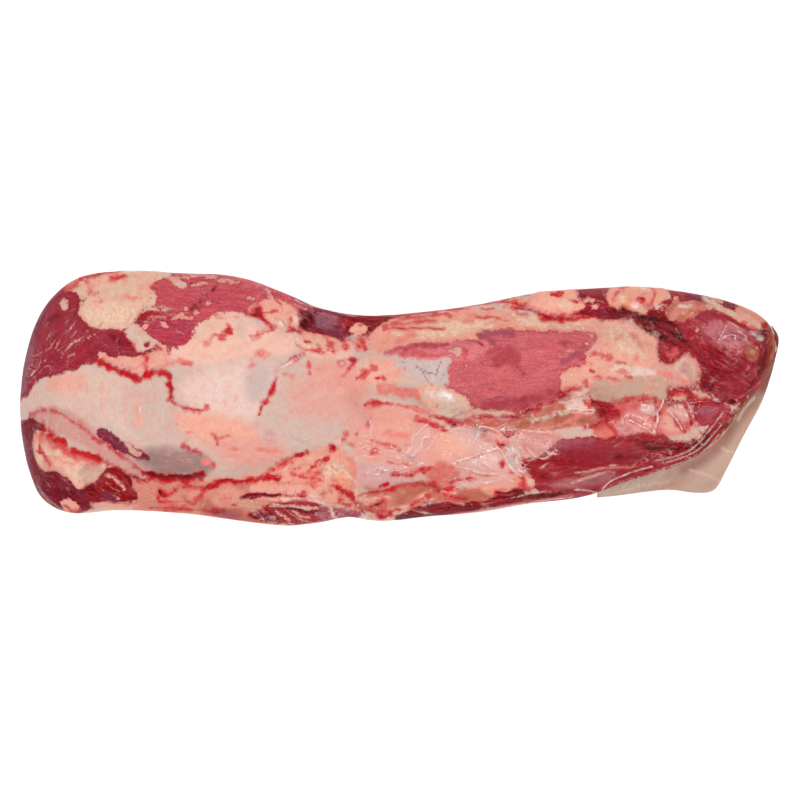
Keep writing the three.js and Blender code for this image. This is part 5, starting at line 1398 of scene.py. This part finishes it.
def meatFinish():
    material, start = newFinish("meatAndFat")
    place = start.add("TexCoord", None, None, 3)
    fine, mid, broad = place.grains(1050, 2, 0.7), place.grains(420, 3, 0.6), place.grains(90, 3, 0.55)
    patchy = place.grains(200)
    grain = start.named("grain", 1).moved(mid * 0.0012 + broad * 0.0045)
    fibre = grain.stretched(90, 640, 640).grains(1.0, 3, 0.65)
    bundle = grain.stretched(34, 300, 300).grains(1.0, 3, 0.6)
    thread = grain.stretched(75, 420, 420).grains(1.0)
    ragged = (fine - 0.5) * 4.5 + (mid - 0.5) * 5.5
    speck, mottle, drift = fine.step(0.34, 0.66), mid.step(0.34, 0.66), broad.step(0.36, 0.64)
    leanEdge, fatEdge = start.named("leanEdge", 2) + ragged, start.named("fatEdge", 2) + ragged

    silver = start.named("silverTint", 0)
    silver = silver.towards(bundle.step(0.42, 0.68) * drift * 0.34, "silverPale", 1.1)
    silver = silver.towards(mottle * drift * 0.15, "salmon")
    silver = silver.towards(patchy.step(0.46, 0.66) * 0.2, "salmon")
    silver = silver.towards(fibre.step(0.54, 0.7) * drift * 0.2, "redPink")
    between = leanEdge.step(-4.5, -1.0) * fatEdge.step(-4.5, -1.0)
    silver = silver.towards(between * 0.85, "wetRed")
    silver = silver.times(0.91 + speck * 0.09 + mottle * 0.06)

    lean = start.named("leanTint", 0)
    stringy = start.named("stringy", 2)
    strings = (fibre.step(0.36, 0.64) - 0.5) * stringy * 0.6
    strings = strings + (bundle.step(0.36, 0.64) - 0.5) * stringy * 0.26
    lean = lean.times(0.83 + strings + speck * 0.34)
    lean = lean.towards(fibre.step(0.58, 0.68) * speck * stringy * 0.34, "pinkLight")
    marbling = thread.step(0.61, 0.68) * broad.step(0.46, 0.6) * stringy
    lean = lean.towards(marbling * 0.45, "marbling")
    lean = lean.towards(fine.step(0.6, 0.72) * mottle * 0.34, "pinkLight")

    fat = start.named("fatTint", 0)
    bent = place.moved(mid * 0.009 + broad * 0.01)
    cells = start.add("TexVoronoi", {"feature": "DISTANCE_TO_EDGE"}, {"Vector": bent, "Scale": 190.0})
    fat = fat.towards(mottle * drift * 0.3, "salmon")
    fat = fat.towards(patchy.step(0.46, 0.66) * 0.32, "salmon")
    fat = fat.towards(broad.step(0.5, 0.66) * 0.3, "peachCream", 1.06)
    veins = (1 - cells.step(0.0, 0.12)) * mid.step(0.46, 0.6) * broad.step(0.45, 0.56)
    fat = fat.towards(veins * 0.8, "redPink")
    # Salmon towards the fat's edges: juice soaked in, and painted shade where the lumps slope away
    fatEdgeSalmon = 1 - fatEdge.step(0.0, 3.0)
    fat = fat.towards(fatEdgeSalmon * (0.05 + mottle * 0.4), "salmon")
    fat = fat.times(0.9 + speck * 0.1 + mottle * 0.07)

    leanMask, fatMask = leanEdge.step(-1.5, -0.1), fatEdge.step(-1.0, 0.3)
    bloodEdge = start.named("bloodEdge", 2) - 0.15 + ragged * 0.45
    bloodEdge = bloodEdge + (broad - 0.5) * 1.2 + (patchy - 0.5) * 0.6
    bloodMask, core = bloodEdge.step(-0.5, 0.9), bloodEdge.step(-0.1, 1.2)
    broken = (patchy - 0.5) * 1.8 + (mid - 0.5) * 1.0 + (fine - 0.5) * 0.3 + (bundle - 0.5) * 0.6
    stained = start.named("stainAmount", 2)
    stainMask = (stained + broken * stained.step(0.02, 0.45)).step(0.05, 0.98)

    colour = leanMask.blend(silver, lean)
    rim = fatEdge.step(-3.0, -0.4) * (0.06 + leanMask * 0.34)
    colour = colour.towards(rim, "blood", 0.45)
    colour = fatMask.blend(colour, fat)
    colour = stainMask.blend(colour, start.named("stainTint", 0).times(0.84 + mottle * 0.22 + speck * 0.08))
    spread = (mid - 0.5) * 5.0 + (fine - 0.5) * 4.0 + (patchy - 0.5) * 9.0 + (broad - 0.5) * 10.0
    halo = (start.named("bloodBeside", 2) + spread).step(-3.8, 1.4)
    colour = (halo * 0.85).blend(colour, (0.82, 0.13, 0.19, 1), "MULTIPLY")
    flow = patchy.step(0.34, 0.58) * 0.45 + 0.55
    colour = colour.towards(bloodMask * flow * 0.85, "blood", 0.98)
    colour = (bloodMask * core * flow).blend(colour, start.named("bloodTint", 0).times(0.55 + speck * 0.65))

    height = fibre * 0.5 * leanMask + bundle * 0.35 + fine * 0.3 + mid * 0.5
    bump = start.add("Bump", None, {"Strength": 0.55, "Distance": 0.0008, "Height": height})
    rough = 0.45 + fatMask * 0.1 + (mid - 0.5) * 0.2
    shader = start.add("BsdfPrincipled", None, {
        "Base Color": colour, "Roughness": rough, "Normal": bump, "Subsurface Weight": 0.08,
        "Subsurface Radius": (1.0, 0.35, 0.25), "Subsurface Scale": 0.0012, "Specular IOR Level": 0.04})
    start.add("OutputMaterial", None, {"Surface": shader})
    return material


# Without a milk colour, the finish takes the colours painted on the free end. Crease lines bend the film and
# are also painted white as glints.
def filmFinish(name, milkGlintColour, bumpScale, roughness, milkGleam):
    material, start = newFinish(name)
    place = start.add("TexCoord", None, None, 3)
    fold = place.stretched(1, 1.6, 1).grains(bumpScale)
    crumpled, grit = start.named("crumpled", 2), place.grains(230, 2, 0.6).step(0.4, 0.58)
    # Crease lines of crumpled film: besides the bump, they are painted white in the milk as glints
    creases = []
    for scale, shift in ((105, 0.47), (190, 0.53)):
        offset = place.stretched(1, 1.3, 1).grains(scale, 0.4, 0.5) - shift
        creases.append(1 - start.maths("ABSOLUTE", offset).step(0.002, 0.026))
    islands = place.grains(70).step(0.46, 0.6)
    crease = start.maths("MAXIMUM", creases[0], creases[1]) * islands * crumpled
    bump = start.add("Bump", None, {"Strength": 0.3, "Distance": 0.0007, "Height": fold + crease * 0.8})
    facing = start.add("LayerWeight", None, {"Blend": 0.5, "Normal": bump}, 1)
    faded = 1 - (1 - grit) * crumpled * 0.45
    # The milk, with the painted glints of the crease lines
    milkAndGlints = start.maths("MAXIMUM", start.named("milk", 2) * faded, crease * (0.06 + grit * 0.42))
    gleam = 0.004 + facing.maths("POWER", facing, 5.0) * 0.05 + milkAndGlints * milkGleam + crease * 0.1
    clear = start.add("BsdfTransparent", None, {"Color": (1, 1, 1, 1)})
    milk = start.add("BsdfDiffuse", None, {"Color": milkGlintColour or start.named("flapTint", 0)})
    sheen = {"Color": (1, 0.93, 0.9, 1), "Roughness": roughness, "Normal": bump}
    gloss = start.add("BsdfGlossy", None, sheen)
    body = start.add("MixShader", None, {0: milkAndGlints, 1: clear, 2: milk})
    surface = start.add("MixShader", None, {0: gleam, 1: body, 2: gloss})
    start.add("OutputMaterial", None, {"Surface": surface})
    return material


# The white stage: four square lamps round the part, in metres and watts, and the floor's own glow
stageSettings = {
    "lightDistance": 1.35, "lightHeight": 1.3, "lightSide": 1.3, "lightWatts": 16.0, "sky": 0.26,
    "floorSide": 6.0, "floorGap": 0.2, "paper": 0.86, "glow": 0.35, "sensor": 36.0, "farthest": 20.0,
}


def addCamera():
    across = photo["side"] * pixel
    data = bpy.data.cameras.new("camera")
    data.sensor_width, data.clip_end = stageSettings["sensor"], stageSettings["farthest"]
    middle = onPlan(photo["side"] / 2, photo["side"] / 2)
    data.lens = data.sensor_width * (photo["height"] - photo["sharpAt"]) / across
    camera = bpy.data.objects.new("camera", data)
    camera.location = (middle[0], middle[1], photo["height"])
    scene.collection.objects.link(camera)
    scene.camera = camera


def addStage():
    bpy.ops.object.select_all(action="DESELECT")
    floorLevel = cadLow.z - stageSettings["floorGap"] * millimetre
    bpy.ops.mesh.primitive_plane_add(size=stageSettings["floorSide"], location=(0, 0, floorLevel))
    floor = bpy.context.active_object
    floor.name = "floor"
    material, start = newFinish("whiteFloor")
    paper = start.add("BsdfDiffuse", None, {"Color": [stageSettings["paper"]] * 3 + [1]})
    glow = start.add("Emission", None, {"Color": (1, 1, 1, 1), "Strength": stageSettings["glow"]})
    start.add("OutputMaterial", None, {"Surface": start.add("AddShader", None, {0: paper, 1: glow})})
    floor.data.materials.append(material)
    for turn in range(4):
        angle = math.radians(45 + 90 * turn)
        name = "softLight" + str(turn)
        light = bpy.data.lights.new(name, "AREA")
        light.shape, light.size = "SQUARE", stageSettings["lightSide"]
        light.energy = stageSettings["lightWatts"]
        lamp = bpy.data.objects.new(name, light)
        away = stageSettings["lightDistance"]
        lamp.location = (away * math.cos(angle), away * math.sin(angle), stageSettings["lightHeight"])
        lamp.rotation_euler = (-lamp.location).to_track_quat("-Z", "Y").to_euler()
        scene.collection.objects.link(lamp)
    world = bpy.data.worlds.new("softSky")
    world.use_nodes = True
    sky = world.node_tree.nodes["Background"].inputs
    sky["Color"].default_value = (1, 1, 1, 1)
    sky["Strength"].default_value = stageSettings["sky"]
    scene.world = world
    scene.view_settings.view_transform = "Standard"


addCamera()
addStage()
print("stage ready")
meat, shape = makeMeat()
meat.data.materials.append(meatFinish())
film = makeFilm(*shape)
film.data.materials.append(filmFinish("clearFilm", (0.88, 0.68, 0.63, 1), bumpScale=260, roughness=0.16,
                                      milkGleam=0.16))
flap = makeFlap(meat)
flap.data.materials.append(filmFinish("filmEnd", None, bumpScale=120, roughness=0.25, milkGleam=0.02))
print("finishes ready")
